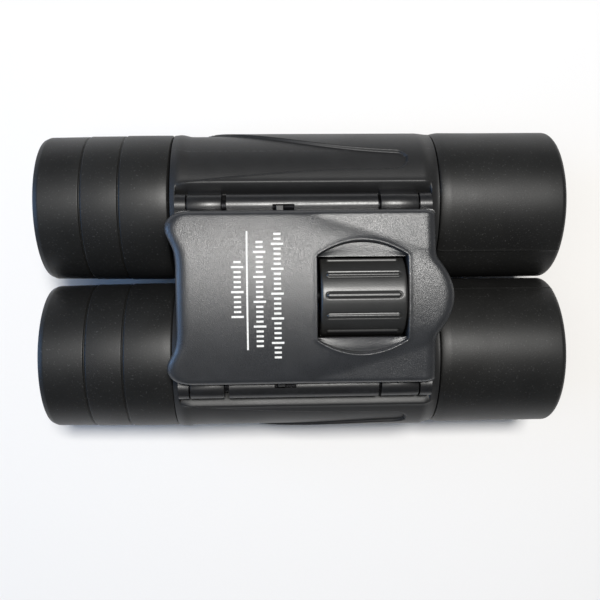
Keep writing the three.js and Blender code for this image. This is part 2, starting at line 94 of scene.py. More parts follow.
@dataclass(frozen=True)
class Layout:
    """The seats of the bridge and the barrels, worked out from the joints and the sleeves."""

    bridge: Seat
    left: Seat
    right: Seat

    @staticmethod
    def hinge(name: str) -> Vector:
        """A fold joint's axis in the frame, in millimetres."""
        joint = next(j for j in frame["joints"] if j["name"] == name)
        return Vector(joint["pos_m"]) / MM

    @classmethod
    def read(cls) -> "Layout":
        """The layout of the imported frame."""
        left, right = cls.hinge("left_fold"), cls.hinge("right_fold")
        middle = (left + right) / 2
        span = left - right
        seats = {}
        for side, hinge in ((Side.LEFT, left), (Side.RIGHT, right)):
            low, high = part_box(side.node("objective_sleeve"))
            axis = (low + high) / 2 / MM
            lean = -math.atan2(hinge.y - axis.y, hinge.z - axis.z)
            seats[side] = Seat(axis.y, axis.z, lean, side.sign)
        return cls(Seat(middle.y, middle.z, math.atan2(span.z, span.y)), seats[Side.LEFT], seats[Side.RIGHT])

    def barrel(self, side: Side) -> Seat:
        """The seat of one barrel."""
        return self.left if side is Side.LEFT else self.right


# ------------------------------------------------------------------ shader maths
class Wire:
    """A shader socket that takes part in arithmetic."""

    def __init__(self, recipe: "Recipe", socket: bpy.types.NodeSocket) -> None:
        """Wraps one output socket of the recipe's tree."""
        self.recipe = recipe
        self.socket = socket

    def _maths(self, operation: str, *values: Union["Wire", float]) -> "Wire":
        """A Math node on these values."""
        inputs = dict(enumerate(values))
        return self.recipe.wire("ShaderNodeMath", {"operation": operation}, inputs)

    def __add__(self, other: Union["Wire", float]) -> "Wire":
        """Sum."""
        return self._maths("ADD", self, other)

    __radd__ = __add__

    def __mul__(self, other: Union["Wire", float]) -> "Wire":
        """Product."""
        return self._maths("MULTIPLY", self, other)

    __rmul__ = __mul__

    def __sub__(self, other: Union["Wire", float]) -> "Wire":
        """Difference."""
        return self._maths("SUBTRACT", self, other)

    def __rsub__(self, other: float) -> "Wire":
        """Difference, the other way round."""
        return self._maths("SUBTRACT", other, self)

    def clamped(self, low: float, high: float) -> "Wire":
        """The share of the way from low to high, eased, between 0 and 1."""
        settings = {"clamp": True, "interpolation_type": "SMOOTHSTEP"}
        inputs = {"Value": self, 1: low, 2: high, 3: 0.0, 4: 1.0}
        return self.recipe.wire("ShaderNodeMapRange", settings, inputs)

    def swing(self, amount: float) -> "Wire":
        """A value round 0.5 as a change round 0, as wide as the amount."""
        return (self - 0.5) * amount


class Recipe:
    """The node tree of one material."""

    def __init__(self, name: str) -> None:
        """Starts an empty tree with an output."""
        self.material = bpy.data.materials.new(name)
        self.material.use_nodes = True
        self.tree = self.material.node_tree
        self.tree.nodes.clear()
        self.output = self.tree.nodes.new("ShaderNodeOutputMaterial")

    def node(self, kind: str, settings: Optional[dict[str, Any]] = None,
             inputs: Optional[dict[Union[str, int], Any]] = None) -> bpy.types.Node:
        """Adds one node.

        Args:
            kind: the node's type.
            settings: its properties, set first.
            inputs: socket names or numbers with a value or a Wire each.

        Returns:
            The new node.
        """
        made = self.tree.nodes.new(kind)
        for key, value in (settings or {}).items():
            setattr(made, key, value)
        for key, value in (inputs or {}).items():
            socket = made.inputs[key]
            if isinstance(value, Wire):
                self.tree.links.new(value.socket, socket)
            else:
                socket.default_value = value
        return made

    def wire(self, kind: str, settings: Optional[dict[str, Any]] = None,
             inputs: Optional[dict[Union[str, int], Any]] = None, output: Union[str, int] = 0) -> Wire:
        """Adds one node and returns one of its outputs.

        Args:
            kind: the node's type.
            settings: its properties.
            inputs: its socket values or wires.
            output: the name or number of the output.

        Returns:
            The output as a Wire.
        """
        return Wire(self, self.node(kind, settings, inputs).outputs[output])

    def place(self) -> Wire:
        """The point on the piece, in metres of the frame at rest."""
        return self.wire("ShaderNodeTexCoord", output="Object")

    def noise(self, per_mm: float, detail: float = 3.0, rough: float = 0.5,
              stretch: Triple = (1, 1, 1)) -> Wire:
        """Smooth noise.

        Args:
            per_mm: how many features a millimetre holds.
            detail: octaves.
            rough: strength of the finer octaves.
            stretch: scale along each axis.

        Returns:
            A value round 0.5.
        """
        scaled = self.wire("ShaderNodeMapping", None, {"Vector": self.place(), "Scale": stretch})
        inputs = {"Vector": scaled, "Scale": per_mm / MM, "Detail": detail, "Roughness": rough}
        return self.wire("ShaderNodeTexNoise", {"noise_dimensions": "3D"}, inputs, "Fac")

    def cells(self, per_mm: float) -> Wire:
        """Distance to the nearest of scattered points, for a pebbled grain."""
        inputs = {"Vector": self.place(), "Scale": per_mm / MM}
        return self.wire("ShaderNodeTexVoronoi", None, inputs, "Distance")

    def blend(self, factor: Wire, low: Union[Wire, Triple], high: Union[Wire, Triple]) -> Wire:
        """A mix of two colours.

        Args:
            factor: the share of the second colour.
            low: the first colour.
            high: the second colour.

        Returns:
            The mix.
        """
        pick = [value if isinstance(value, Wire) else (*value, 1.0) for value in (low, high)]
        made = self.node("ShaderNodeMix", {"data_type": "RGBA"}, {0: factor, 6: pick[0], 7: pick[1]})
        return Wire(self, made.outputs[2])

    def bump(self, height: Wire, depth_mm: float) -> Wire:
        """A normal raised by a height of that many millimetres."""
        return self.wire("ShaderNodeBump", None, {"Height": height, "Distance": depth_mm * MM}, "Normal")

    def edges(self, low: float, high: float) -> Wire:
        """1 on raised edges and 0 on flats and hollows."""
        return self.wire("ShaderNodeNewGeometry", output="Pointiness").clamped(low, high)

    def surface(self, **values: Any) -> bpy.types.Material:
        """Closes the tree with one Principled shader.

        Args:
            values: socket names, with _ for a space, and their values or wires.

        Returns:
            The finished material.
        """
        names = {key.replace("_", " "): value for key, value in values.items()}
        shader = self.node("ShaderNodeBsdfPrincipled", None, names)
        self.tree.links.new(shader.outputs[0], self.output.inputs["Surface"])
        return self.material


def shaded(colour: Triple, factor: float) -> Triple:
    """A colour made lighter or darker by a factor."""
    return tuple(part * factor for part in colour)


# ------------------------------------------------------------------ finishes
@dataclass(frozen=True)
class GrainedPlastic:
    """Moulded plastic with a spark-eroded grain and painted glints (light specks in its colour that stand in
    for its sparkle), patchy with handling and rubbed lighter on its edges.
    """

    name: str
    colour: Triple
    # Colour of the painted glints, light specks for the grain's sparkle; a lighter copy of it colours the
    # worn edges.
    glint_and_wear_colour: Triple
    roughness: float = 0.42
    grain_per_mm: float = 3.2
    grain_mm: float = 0.03
    index: float = 1.5
    patch_tone: float = 1.16
    painted_glint_share: float = 0.4
    worn_tone: float = 1.9
    worn_share: float = 0.35
    worn_gloss: float = 0.06
    handled_gloss: float = 0.12
    grain_gloss: float = 0.22

    def build(self) -> bpy.types.Material:
        """The material."""
        recipe = Recipe(self.name)
        grain = recipe.noise(self.grain_per_mm, 4.0, 0.62)
        pits = recipe.cells(self.grain_per_mm * 1.3)
        patches = recipe.noise(0.35, 3.0).clamped(0.3, 0.7)
        handled = recipe.noise(0.09, 2.0)
        worn = recipe.edges(0.52, 0.62) * recipe.noise(1.2, 4.0).clamped(0.4, 0.7)
        # Painted glints: light specks mixed into the colour that stand in for the sparkle of the grain in the
        # light.
        painted_glints = recipe.noise(self.grain_per_mm * 1.7, 2.0).clamped(0.56, 0.72)
        base = recipe.blend(patches, self.colour, shaded(self.colour, self.patch_tone))
        with_painted_glints = recipe.blend(painted_glints * self.painted_glint_share, base, self.glint_and_wear_colour)
        tone = recipe.blend(worn * self.worn_share, with_painted_glints, shaded(self.glint_and_wear_colour, self.worn_tone))
        changes = handled.swing(self.handled_gloss) + grain.swing(self.grain_gloss) - worn * self.worn_gloss
        rough = self.roughness + changes
        normal = recipe.bump(grain * 0.7 + pits * 0.45, self.grain_mm)
        return recipe.surface(Base_Color=tone, Roughness=rough, Normal=normal, IOR=self.index)


@dataclass(frozen=True)
class SoftRubber:
    """Smooth matte rubber that holds a little dust and is rubbed lighter on its edges."""

    name: str
    colour: Triple
    roughness: float = 0.6
    grain_mm: float = 0.012
    dust_share: float = 0.22
    index: float = 1.4
    dust_colour: Triple = (0.12, 0.12, 0.118)
    cloud_tone: float = 1.22
    rubbed_tone: float = 2.2
    rubbed_share: float = 0.25
    cloud_gloss: float = 0.14
    grain_gloss: float = 0.1

    def build(self) -> bpy.types.Material:
        """The material."""
        recipe = Recipe(self.name)
        fine = recipe.noise(4.5, 3.0, 0.6)
        cloud = recipe.noise(0.12, 3.0)
        lint = recipe.noise(2.6, 2.0).clamped(0.63, 0.72)
        rubbed = recipe.edges(0.52, 0.6)
        base = recipe.blend(cloud.clamped(0.3, 0.75), self.colour, shaded(self.colour, self.cloud_tone))
        dusty = recipe.blend(lint * self.dust_share, base, self.dust_colour)
        tone = recipe.blend(rubbed * self.rubbed_share, dusty, shaded(self.colour, self.rubbed_tone))
        rough = self.roughness + cloud.swing(self.cloud_gloss) + fine.swing(self.grain_gloss)
        return recipe.surface(Base_Color=tone, Roughness=rough, Normal=recipe.bump(fine, self.grain_mm),
                              IOR=self.index)


@dataclass(frozen=True)
class TurnedMetal:
    """Metal turned on a lathe about an axis along X, with fine rings and a little stain."""

    name: str
    colour: Triple
    roughness: float = 0.3
    metallic: float = 1.0
    ring_mm: float = 0.01
    ring_stretch: Triple = (5.0, 0.12, 0.12)
    stain_tone: float = 0.78
    ring_gloss: float = 0.18
    stain_gloss: float = 0.1

    def build(self) -> bpy.types.Material:
        """The material."""
        recipe = Recipe(self.name)
        rings = recipe.noise(2.2, 3.0, 0.6, self.ring_stretch)
        stain = recipe.noise(0.5, 4.0)
        tone = recipe.blend(stain.clamped(0.35, 0.7), self.colour, shaded(self.colour, self.stain_tone))
        rough = self.roughness + rings.swing(self.ring_gloss) + stain.swing(self.stain_gloss)
        return recipe.surface(Base_Color=tone, Roughness=rough, Metallic=self.metallic,
                              Normal=recipe.bump(rings, self.ring_mm))


@dataclass(frozen=True)
class OpticalGlass:
    """Polished glass, with a coating whose film gives it a coloured reflection."""

    name: str
    tint: Triple
    film_nm: float = 0.0
    index: float = 1.52
    film_index: float = 1.38
    polish: float = 0.015
    haze_gloss: float = 0.035

    def build(self) -> bpy.types.Material:
        """The material."""
        recipe = Recipe(self.name)
        haze = recipe.noise(0.22, 3.0)
        rough = self.polish + haze.clamped(0.5, 0.8) * self.haze_gloss
        tone = recipe.blend(haze * 0.2, self.tint, shaded(self.tint, 0.94))
        return recipe.surface(Base_Color=tone, Roughness=rough, Transmission_Weight=1.0, IOR=self.index,
                              Thin_Film_Thickness=self.film_nm, Thin_Film_IOR=self.film_index)


@dataclass(frozen=True)
class PrintedPaint:
    """Pad-printed paint, thin enough to show the grain under it."""

    name: str
    colour: Triple
    roughness: float = 0.5
    thin_tone: float = 0.72
    grain_mm: float = 0.02

    def build(self) -> bpy.types.Material:
        """The material."""
        recipe = Recipe(self.name)
        thin = recipe.noise(2.6, 4.0, 0.65)
        tone = recipe.blend(thin.clamped(0.3, 0.62), shaded(self.colour, self.thin_tone), self.colour)
        return recipe.surface(Base_Color=tone, Roughness=self.roughness + thin * 0.1,
                              Normal=recipe.bump(thin, self.grain_mm))


@dataclass(frozen=True)
class TablePaper:
    """Plain pale card under the object."""

    name: str
    colour: Triple
    fibre_tone: float = 0.985
    fibre_mm: float = 0.01

    def build(self) -> bpy.types.Material:
        """The material."""
        recipe = Recipe(self.name)
        fibre = recipe.noise(1.4, 4.0, 0.6)
        tone = recipe.blend(fibre, shaded(self.colour, self.fibre_tone), self.colour)
        return recipe.surface(Base_Color=tone, Roughness=0.85, Normal=recipe.bump(fibre, self.fibre_mm))


class Finishes:
    """Every finish of the object, built once."""

    def __init__(self) -> None:
        """Builds the materials."""
        # The second colour of each grained plastic is its painted glint colour, light specks for sparkle; it
        # is also the base of its worn edges.
        self.cover = GrainedPlastic("cover_plastic", (0.021, 0.022, 0.024), (0.06, 0.062, 0.066),
                                    roughness=0.3, grain_per_mm=6.0, grain_mm=0.045, index=1.57).build()
        self.shell = GrainedPlastic("shell_plastic", (0.012, 0.012, 0.0122), (0.03, 0.03, 0.031),
                                    roughness=0.46, grain_per_mm=4.0, grain_mm=0.022, index=1.43).build()
        self.inner = GrainedPlastic("inner_plastic", (0.009, 0.009, 0.0095), (0.02, 0.02, 0.022),
                                    roughness=0.34, grain_per_mm=2.4, grain_mm=0.008).build()
        self.rubber = SoftRubber("soft_rubber", (0.008, 0.008, 0.0077), roughness=0.46).build()
        self.wheel = SoftRubber("wheel_rubber", (0.02, 0.02, 0.0193), roughness=0.38, grain_mm=0.014,
                                dust_share=0.1, index=1.58).build()
        self.anodised = TurnedMetal("black_anodised", (0.02, 0.02, 0.022), 0.42, metallic=0.5).build()
        self.steel = TurnedMetal("turned_steel", (0.5, 0.51, 0.52), 0.28).build()
        self.dark_steel = TurnedMetal("blackened_steel", (0.014, 0.014, 0.016), 0.5, metallic=0.8).build()
        self.brass = TurnedMetal("turned_brass", (0.5, 0.33, 0.14)).build()
        self.coated = OpticalGlass("coated_glass", (0.93, 0.97, 0.95), film_nm=420.0).build()
        self.plain_glass = OpticalGlass("plain_glass", (0.95, 0.98, 0.97)).build()
        self.print = PrintedPaint("white_print", (0.82, 0.82, 0.8)).build()
        self.table = TablePaper("table_card", (0.76, 0.75, 0.74)).build()


# ------------------------------------------------------------------ mesh building
def softened(profile: Profile, radius: float, steps: int = 3) -> Profile:
    """Rounds the corners of a closed outline.

    Args:
        profile: the outline's points.
        radius: how far along each edge the rounding starts.
        steps: points in each rounded corner, less one.

    Returns:
        The rounded outline.
    """
    most = 0.45
    points = [np.array(p, float) for p in profile]
    out: Profile = []
    for i, here in enumerate(points):
        before, after = points[i - 1] - here, points[(i + 1) % len(points)] - here
        reach = [min(radius / np.linalg.norm(v), most) for v in (before, after)]
        start, end = here + before * reach[0], here + after * reach[1]
        for t in np.linspace(0, 1, steps + 1):
            out.append(tuple((1 - t) ** 2 * start + 2 * t * (1 - t) * here + t * t * end))
    return out


def stations(start: float, end: float, step: float, breaks: Sequence[float] = (),
             near: float = 0.12) -> np.ndarray:
    """Even steps from start to end, with extra ones close to each break.

    Args:
        start: first value.
        end: last value.
        step: the even spacing.
        breaks: values where the surface changes quickly.
        near: spacing of the extra values.

    Returns:
        The sorted values.
    """
    each_side = 3
    least = near * 0.35
    values = list(np.linspace(start, end, max(2, round((end - start) / step) + 1)))
    for at in breaks:
        values += [at + k * near for k in range(-each_side, each_side + 1)]
    values = sorted(v for v in values if start <= v <= end)
    kept = [values[0]]
    for value in values[1:]:
        if value - kept[-1] > least:
            kept.append(value)
    kept[-1] = end
    return np.array(kept)


def smoothstep(low: float, high: float, value: np.ndarray) -> np.ndarray:
    """0 below low and 1 above high, with a soft change between.

    Args:
        low: where the change starts.
        high: where it ends.
        value: the values.

    Returns:
        The share at each value.
    """
    t = np.clip((value - low) / (high - low), 0, 1)
    return t * t * (3 - 2 * t)


def ridge(away: np.ndarray, width: float) -> np.ndarray:
    """1 at no distance and fading like a bell, with that half width."""
    return np.exp(-((away / width) ** 2))


def rounded_least(one: np.ndarray, other: np.ndarray, reach: float) -> np.ndarray:
    """The lesser of two heights, with the edge where they meet rounded off.

    Args:
        one: heights.
        other: heights.
        reach: the difference within which they are rounded.

    Returns:
        The rounded lesser height.
    """
    share = np.clip(reach - np.abs(one - other), 0, None) / reach
    return np.minimum(one, other) - share ** 2 * reach / 4


def fillet(distance: np.ndarray, radius: float) -> np.ndarray:
    """How far a quarter round of that radius has fallen, at a distance from where it starts."""
    return radius - np.sqrt(radius ** 2 - np.clip(distance, 0, radius) ** 2)


def within(x: np.ndarray, span: tuple[float, float], out: float, into: float) -> np.ndarray:
    """1 inside a span and 0 outside it, with soft ends.

    Args:
        x: the values.
        span: its ends.
        out: how far the softness reaches outside each end.
        into: how far it reaches inside.

    Returns:
        The share at each value.
    """
    return smoothstep(span[0] - out, span[0] + into, x) * (1 - smoothstep(span[1] - into, span[1] + out, x))


def ray_to_line(angle: np.ndarray, y: float, z: float, slope: float) -> np.ndarray:
    """Distance from the axis, at each angle from Z towards Y, to the line through a point with that slope.

    Args:
        angle: the angles.
        y: the point's place.
        z: the point's height.
        slope: rise of z for each step of y.

    Returns:
        The distances.
    """
    least = 1e-3
    closing = np.cos(angle) - slope * np.sin(angle)
    return (z - slope * y) / np.where(np.abs(closing) > least, closing, least)


def ray_to_circle(angle: np.ndarray, y: float, z: float, radius: float) -> tuple[np.ndarray, np.ndarray]:
    """Distance from the axis, at each angle from Z towards Y, to the near side of a circle.

    Args:
        angle: the angles.
        y: the circle's centre.
        z: the circle's centre.
        radius: of the circle.

    Returns:
        The distances, and whether each ray meets the circle.
    """
    toward = y * np.sin(angle) + z * np.cos(angle)
    room = toward ** 2 - (y ** 2 + z ** 2) + radius ** 2
    return toward - np.sqrt(np.clip(room, 0, None)), (room > 0) & (toward > 0)


def around(x: np.ndarray, r: Union[np.ndarray, float], angle: np.ndarray, z: float = 0.0) -> np.ndarray:
    """Points at these distances from a line along X at height z."""
    return np.stack([x, r * np.sin(angle), z + r * np.cos(angle)], -1)


def circle(radius: float, count: int) -> Profile:
    """Points round a circle."""
    angles = np.linspace(0, 2 * math.pi, count, endpoint=False)
    return [(radius * math.sin(t), radius * math.cos(t)) for t in angles]


@dataclass(frozen=True)
class Ripple:
    """Thin mould lines that run along a turned piece."""

    at: tuple[float, ...]
    width: float = 0.2
    tall: float = 0.09
    depth: float = 0.6
    step: float = 0.004
    each_side: int = 5

    def angles(self, sides: int) -> np.ndarray:
        """Even angles with extra ones at each line.

        Args:
            sides: how many even ones there are.

        Returns:
            The sorted angles.
        """
        near = range(-self.each_side, self.each_side + 1)
        extra = [math.radians(a) + k * self.step for a in self.at for k in near]
        even = np.linspace(0, 2 * math.pi, sides, endpoint=False)
        return np.array(sorted(set(np.round(np.concatenate([even, np.mod(extra, 2 * math.pi)]), 6))))

    def height(self, r: np.ndarray, angle: np.ndarray) -> np.ndarray:
        """How far each point is raised: only the outer face is.

        Args:
            r: the points' radii.
            angle: their angles.

        Returns:
            The rise at each point.
        """
        total = np.zeros_like(r)
        outer = r > np.max(r) - self.depth
        for at in self.at:
            off = (np.mod(angle - math.radians(at) + math.pi, 2 * math.pi) - math.pi) * r
            total += self.tall * ridge(off, self.width) * outer
        return total


class Stock:
    """The points and faces of one piece, gathered in the millimetres of its seat."""

    def __init__(self) -> None:
        """Starts with nothing."""
        self.points: list[np.ndarray] = []
        self.faces: list[tuple[int, ...]] = []
        self.count = 0

    def sheet(self, grid: np.ndarray, wrap_rows: bool = False, wrap_columns: bool = False,
              keep: Optional[np.ndarray] = None) -> np.ndarray:
        """Adds a grid of points with a face in each cell.

        Args:
            grid: rows by columns by 3.
            wrap_rows: whether the last row joins the first.
            wrap_columns: whether the last column joins the first.
            keep: which cells get a face; all of them if left out.

        Returns:
            The points' numbers, rows by columns.
        """
        rows, columns = grid.shape[:2]
        numbers = np.arange(rows * columns).reshape(rows, columns) + self.count
        self.points.append(grid.reshape(-1, 3))
        self.count += rows * columns
        for i in range(rows if wrap_rows else rows - 1):
            for j in range(columns if wrap_columns else columns - 1):
                if keep is None or keep[i, j]:
                    a, b = (i + 1) % rows, (j + 1) % columns
                    self.faces.append((numbers[i, j], numbers[a, j], numbers[a, b], numbers[i, b]))
        return numbers

    def stitch(self, one: np.ndarray, other: np.ndarray) -> None:
        """Joins two closed rows of points of the same length with faces.

        Args:
            one: the first row's point numbers.
            other: the second row's.
        """
        for i in range(len(one)):
            j = (i + 1) % len(one)
            self.faces.append((one[i], one[j], other[j], other[i]))

    def caps(self, numbers: np.ndarray) -> None:
        """Closes the first and the last row with a face each."""
        self.faces.append(tuple(numbers[0]))
        self.faces.append(tuple(numbers[-1]))

    def pipe(self, outside: np.ndarray, inside: np.ndarray) -> None:
        """Adds a wall between two grids that wrap round the same axis.

        Args:
            outside: the outer points, rows by columns by 3.
            inside: the inner points.
        """
        outer = self.sheet(outside, wrap_columns=True)
        inner = self.sheet(inside, wrap_columns=True)
        self.stitch(outer[0], inner[0])
        self.stitch(outer[-1], inner[-1])

    def turned(self, profile: Profile, sides: int = 96, z: float = 0.0,
               ripple: Optional[Ripple] = None) -> None:
        """Adds a piece turned about a line along X.

        Args:
            profile: (x, radius) points; it closes on itself, or starts and ends on the axis.
            sides: facets round the axis.
            z: the axis's height.
            ripple: mould lines on its outside.
        """
        table = np.array(profile, float)
        lines = ripple or Ripple(())
        angles = lines.angles(sides) if ripple else np.linspace(0, 2 * math.pi, sides, endpoint=False)
        x = np.repeat(table[:, :1], len(angles), 1)
        r = np.repeat(table[:, 1:], len(angles), 1)
        a = np.repeat(angles[None, :], len(table), 0)
        r = r + lines.height(r, a)
        starts_off_axis = table[0, 1] > 1e-6
        self.sheet(around(x, r, a, z), wrap_rows=starts_off_axis, wrap_columns=True)

    def along(self, outline: Profile, x0: float, x1: float, soft: float = 0.25) -> None:
        """Adds an outline in (y, z) run along X, with rounded corners and ends.

        Args:
            outline: its points in order.
            x0: where it starts.
            x1: where it ends.
            soft: the rounding.
        """
        part_way = 0.3
        ring = np.array(softened(outline, soft * 1.6))
        middle = ring.mean(0)
        reach = np.linalg.norm(ring - middle, axis=1, keepdims=True)
        rows = []
        for x, inset in ((x0, 1.0), (x0 + soft * part_way, part_way), (x0 + soft, 0.0), (x1 - soft, 0.0),
                         (x1 - soft * part_way, part_way), (x1, 1.0)):
            shrunk = middle + (ring - middle) * (1 - inset * soft / np.maximum(reach, soft * 2))
            rows.append(np.concatenate([np.full((len(ring), 1), x), shrunk], 1))
        self.caps(self.sheet(np.array(rows), wrap_columns=True))

    def mesh(self, name: str) -> bpy.types.Mesh:
        """The points and faces as a mesh, still in millimetres."""
        made = bpy.data.meshes.new(name)
        made.from_pydata(np.concatenate(self.points).tolist(), [], [tuple(map(int, f)) for f in self.faces])
        return made

    def piece(self, name: str, seat: Seat, material: bpy.types.Material, body: str, slot: str,
              *nodes: str, sharp: float = 38.0) -> bpy.types.Object:
        """Makes the object, dresses it and sets it on its body.

        Args:
            name: the piece's name.
            seat: where its millimetres are.
            material: its finish.
            body: the CAD body it rides on.
            slot: the record's material slot; not used.
            nodes: the CAD nodes it stands for.
            sharp: the angle in degrees above which an edge stays sharp.

        Returns:
            The finished object.
        """
        mesh = self.mesh(name)
        mesh.transform(seat.matrix())
        return settle(name, mesh, material, body, slot, *nodes, sharp=sharp)


def settle(name: str, mesh: bpy.types.Mesh, material: bpy.types.Material, body: str, slot: str,
           *nodes: str, sharp: float = 38.0) -> bpy.types.Object:
    """Cleans a mesh in the frame's metres, shades it and sets it on its body.

    Args:
        name: the piece's name.
        mesh: its mesh.
        material: its finish.
        body: the CAD body it rides on.
        slot: the record's material slot; not used.
        nodes: the CAD nodes it stands for.
        sharp: the angle in degrees above which an edge stays sharp.

    Returns:
        The finished object.
    """
    work = bmesh.new()
    work.from_mesh(mesh)
    bmesh.ops.remove_doubles(work, verts=work.verts, dist=1e-7)
    bmesh.ops.dissolve_degenerate(work, edges=work.edges, dist=1e-8)
    bmesh.ops.recalc_face_normals(work, faces=work.faces)
    work.to_mesh(mesh)
    work.free()
    mesh.shade_smooth()
    mesh.set_sharp_from_angle(angle=math.radians(sharp))
    mesh.materials.clear()
    mesh.materials.append(material)
    made = bpy.data.objects.new(name, mesh)
    bpy.context.scene.collection.objects.link(made)
    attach(made, body)
    if nodes:
        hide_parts(*nodes)
    log.info("%s: %d faces on %s", name, len(mesh.polygons), body)
    return made


def refined(node: str, material: bpy.types.Material, body: str, slot: str,
            edge: float = 0.12) -> bpy.types.Object:
    """Stands a copy of a CAD node with eased edges and smooth rounds in its place.

    Args:
        node: the CAD node.
        material: its finish.
        body: its body.
        slot: the record's material slot; not used.
        edge: width of the eased edges, in millimetres.

    Returns:
        The finished object.
    """
    corner = 40.0
    mesh = frame["nodes"][node].data.copy()
    mesh.name = node + "_fine"
    work = bmesh.new()
    work.from_mesh(mesh)
    bmesh.ops.remove_doubles(work, verts=work.verts, dist=2e-6)
    bmesh.ops.dissolve_limit(work, angle_limit=math.radians(1), verts=work.verts, edges=work.edges)
    work.to_mesh(mesh)
    work.free()
    made = settle(node + "_fine", mesh, material, body, slot, node, sharp=corner)
    ease = made.modifiers.new("eased edges", "BEVEL")
    ease.width = edge * MM
    ease.segments = 2
    ease.limit_method = "ANGLE"
    ease.angle_limit = math.radians(corner)
    ease.harden_normals = True
    return made


# ------------------------------------------------------------------ bridge
RIM = (0.07, 0.15, 0.24, 0.34, 0.46, 0.62, 0.85, 1.15)
FILLET = (0.08, 0.2, 0.36, 0.56, 0.8, 1.1, 1.45, 1.85)


def spread(length: float, first: Sequence[float], last: Sequence[float], step: float) -> np.ndarray:
    """Distances from 0 to a length, close together at both ends.

    Args:
        length: the last distance.
        first: the distances after 0.
        last: the distances before the length, counted back from it.
        step: the spacing between them.

    Returns:
        The distances.
    """
    most = length * 0.45
    start = [d for d in first if d < most]
    end = [length - d for d in last if d < most][::-1]
    count = max(1, round((end[0] - start[-1]) / step))
    middle = np.linspace(start[-1], end[0], count + 1)[1:-1]
    return np.concatenate([[0.0], start, middle, end, [length]])


@dataclass(frozen=True)
class CoverGrid:
    """Plan of the cover's points, with the rows and columns at the corners of the wheel's opening."""

    x: np.ndarray
    y: np.ndarray
    rows: tuple[int, int]
    columns: tuple[int, int]

    def border(self, numbers: np.ndarray) -> np.ndarray:
        """The point numbers round the outside of a grid, in order."""
        return np.concatenate([numbers[0, :-1], numbers[:-1, -1], numbers[-1, :0:-1], numbers[:0:-1, 0]])

    def opening(self, numbers: np.ndarray) -> np.ndarray:
        """The point numbers round the wheel's opening, in order."""
        (top, bottom), (low, high) = self.rows, self.columns
        return self.border(numbers[top:bottom + 1, low:high + 1])


@dataclass(frozen=True)
class Dashes:
    """A row of printed dashes across the barrels' direction."""

    at: float
    start: float
    count: int
    first_long: int
    pitch: float = 1.0
    width: float = 0.42
    short: float = 0.72
    tall: float = 1.25
    group: int = 5

    def half_length(self, number: int) -> float:
        """Half the length of one dash: every fifth is a long one."""
        return self.tall if (number + self.first_long) % self.group == 0 else self.short


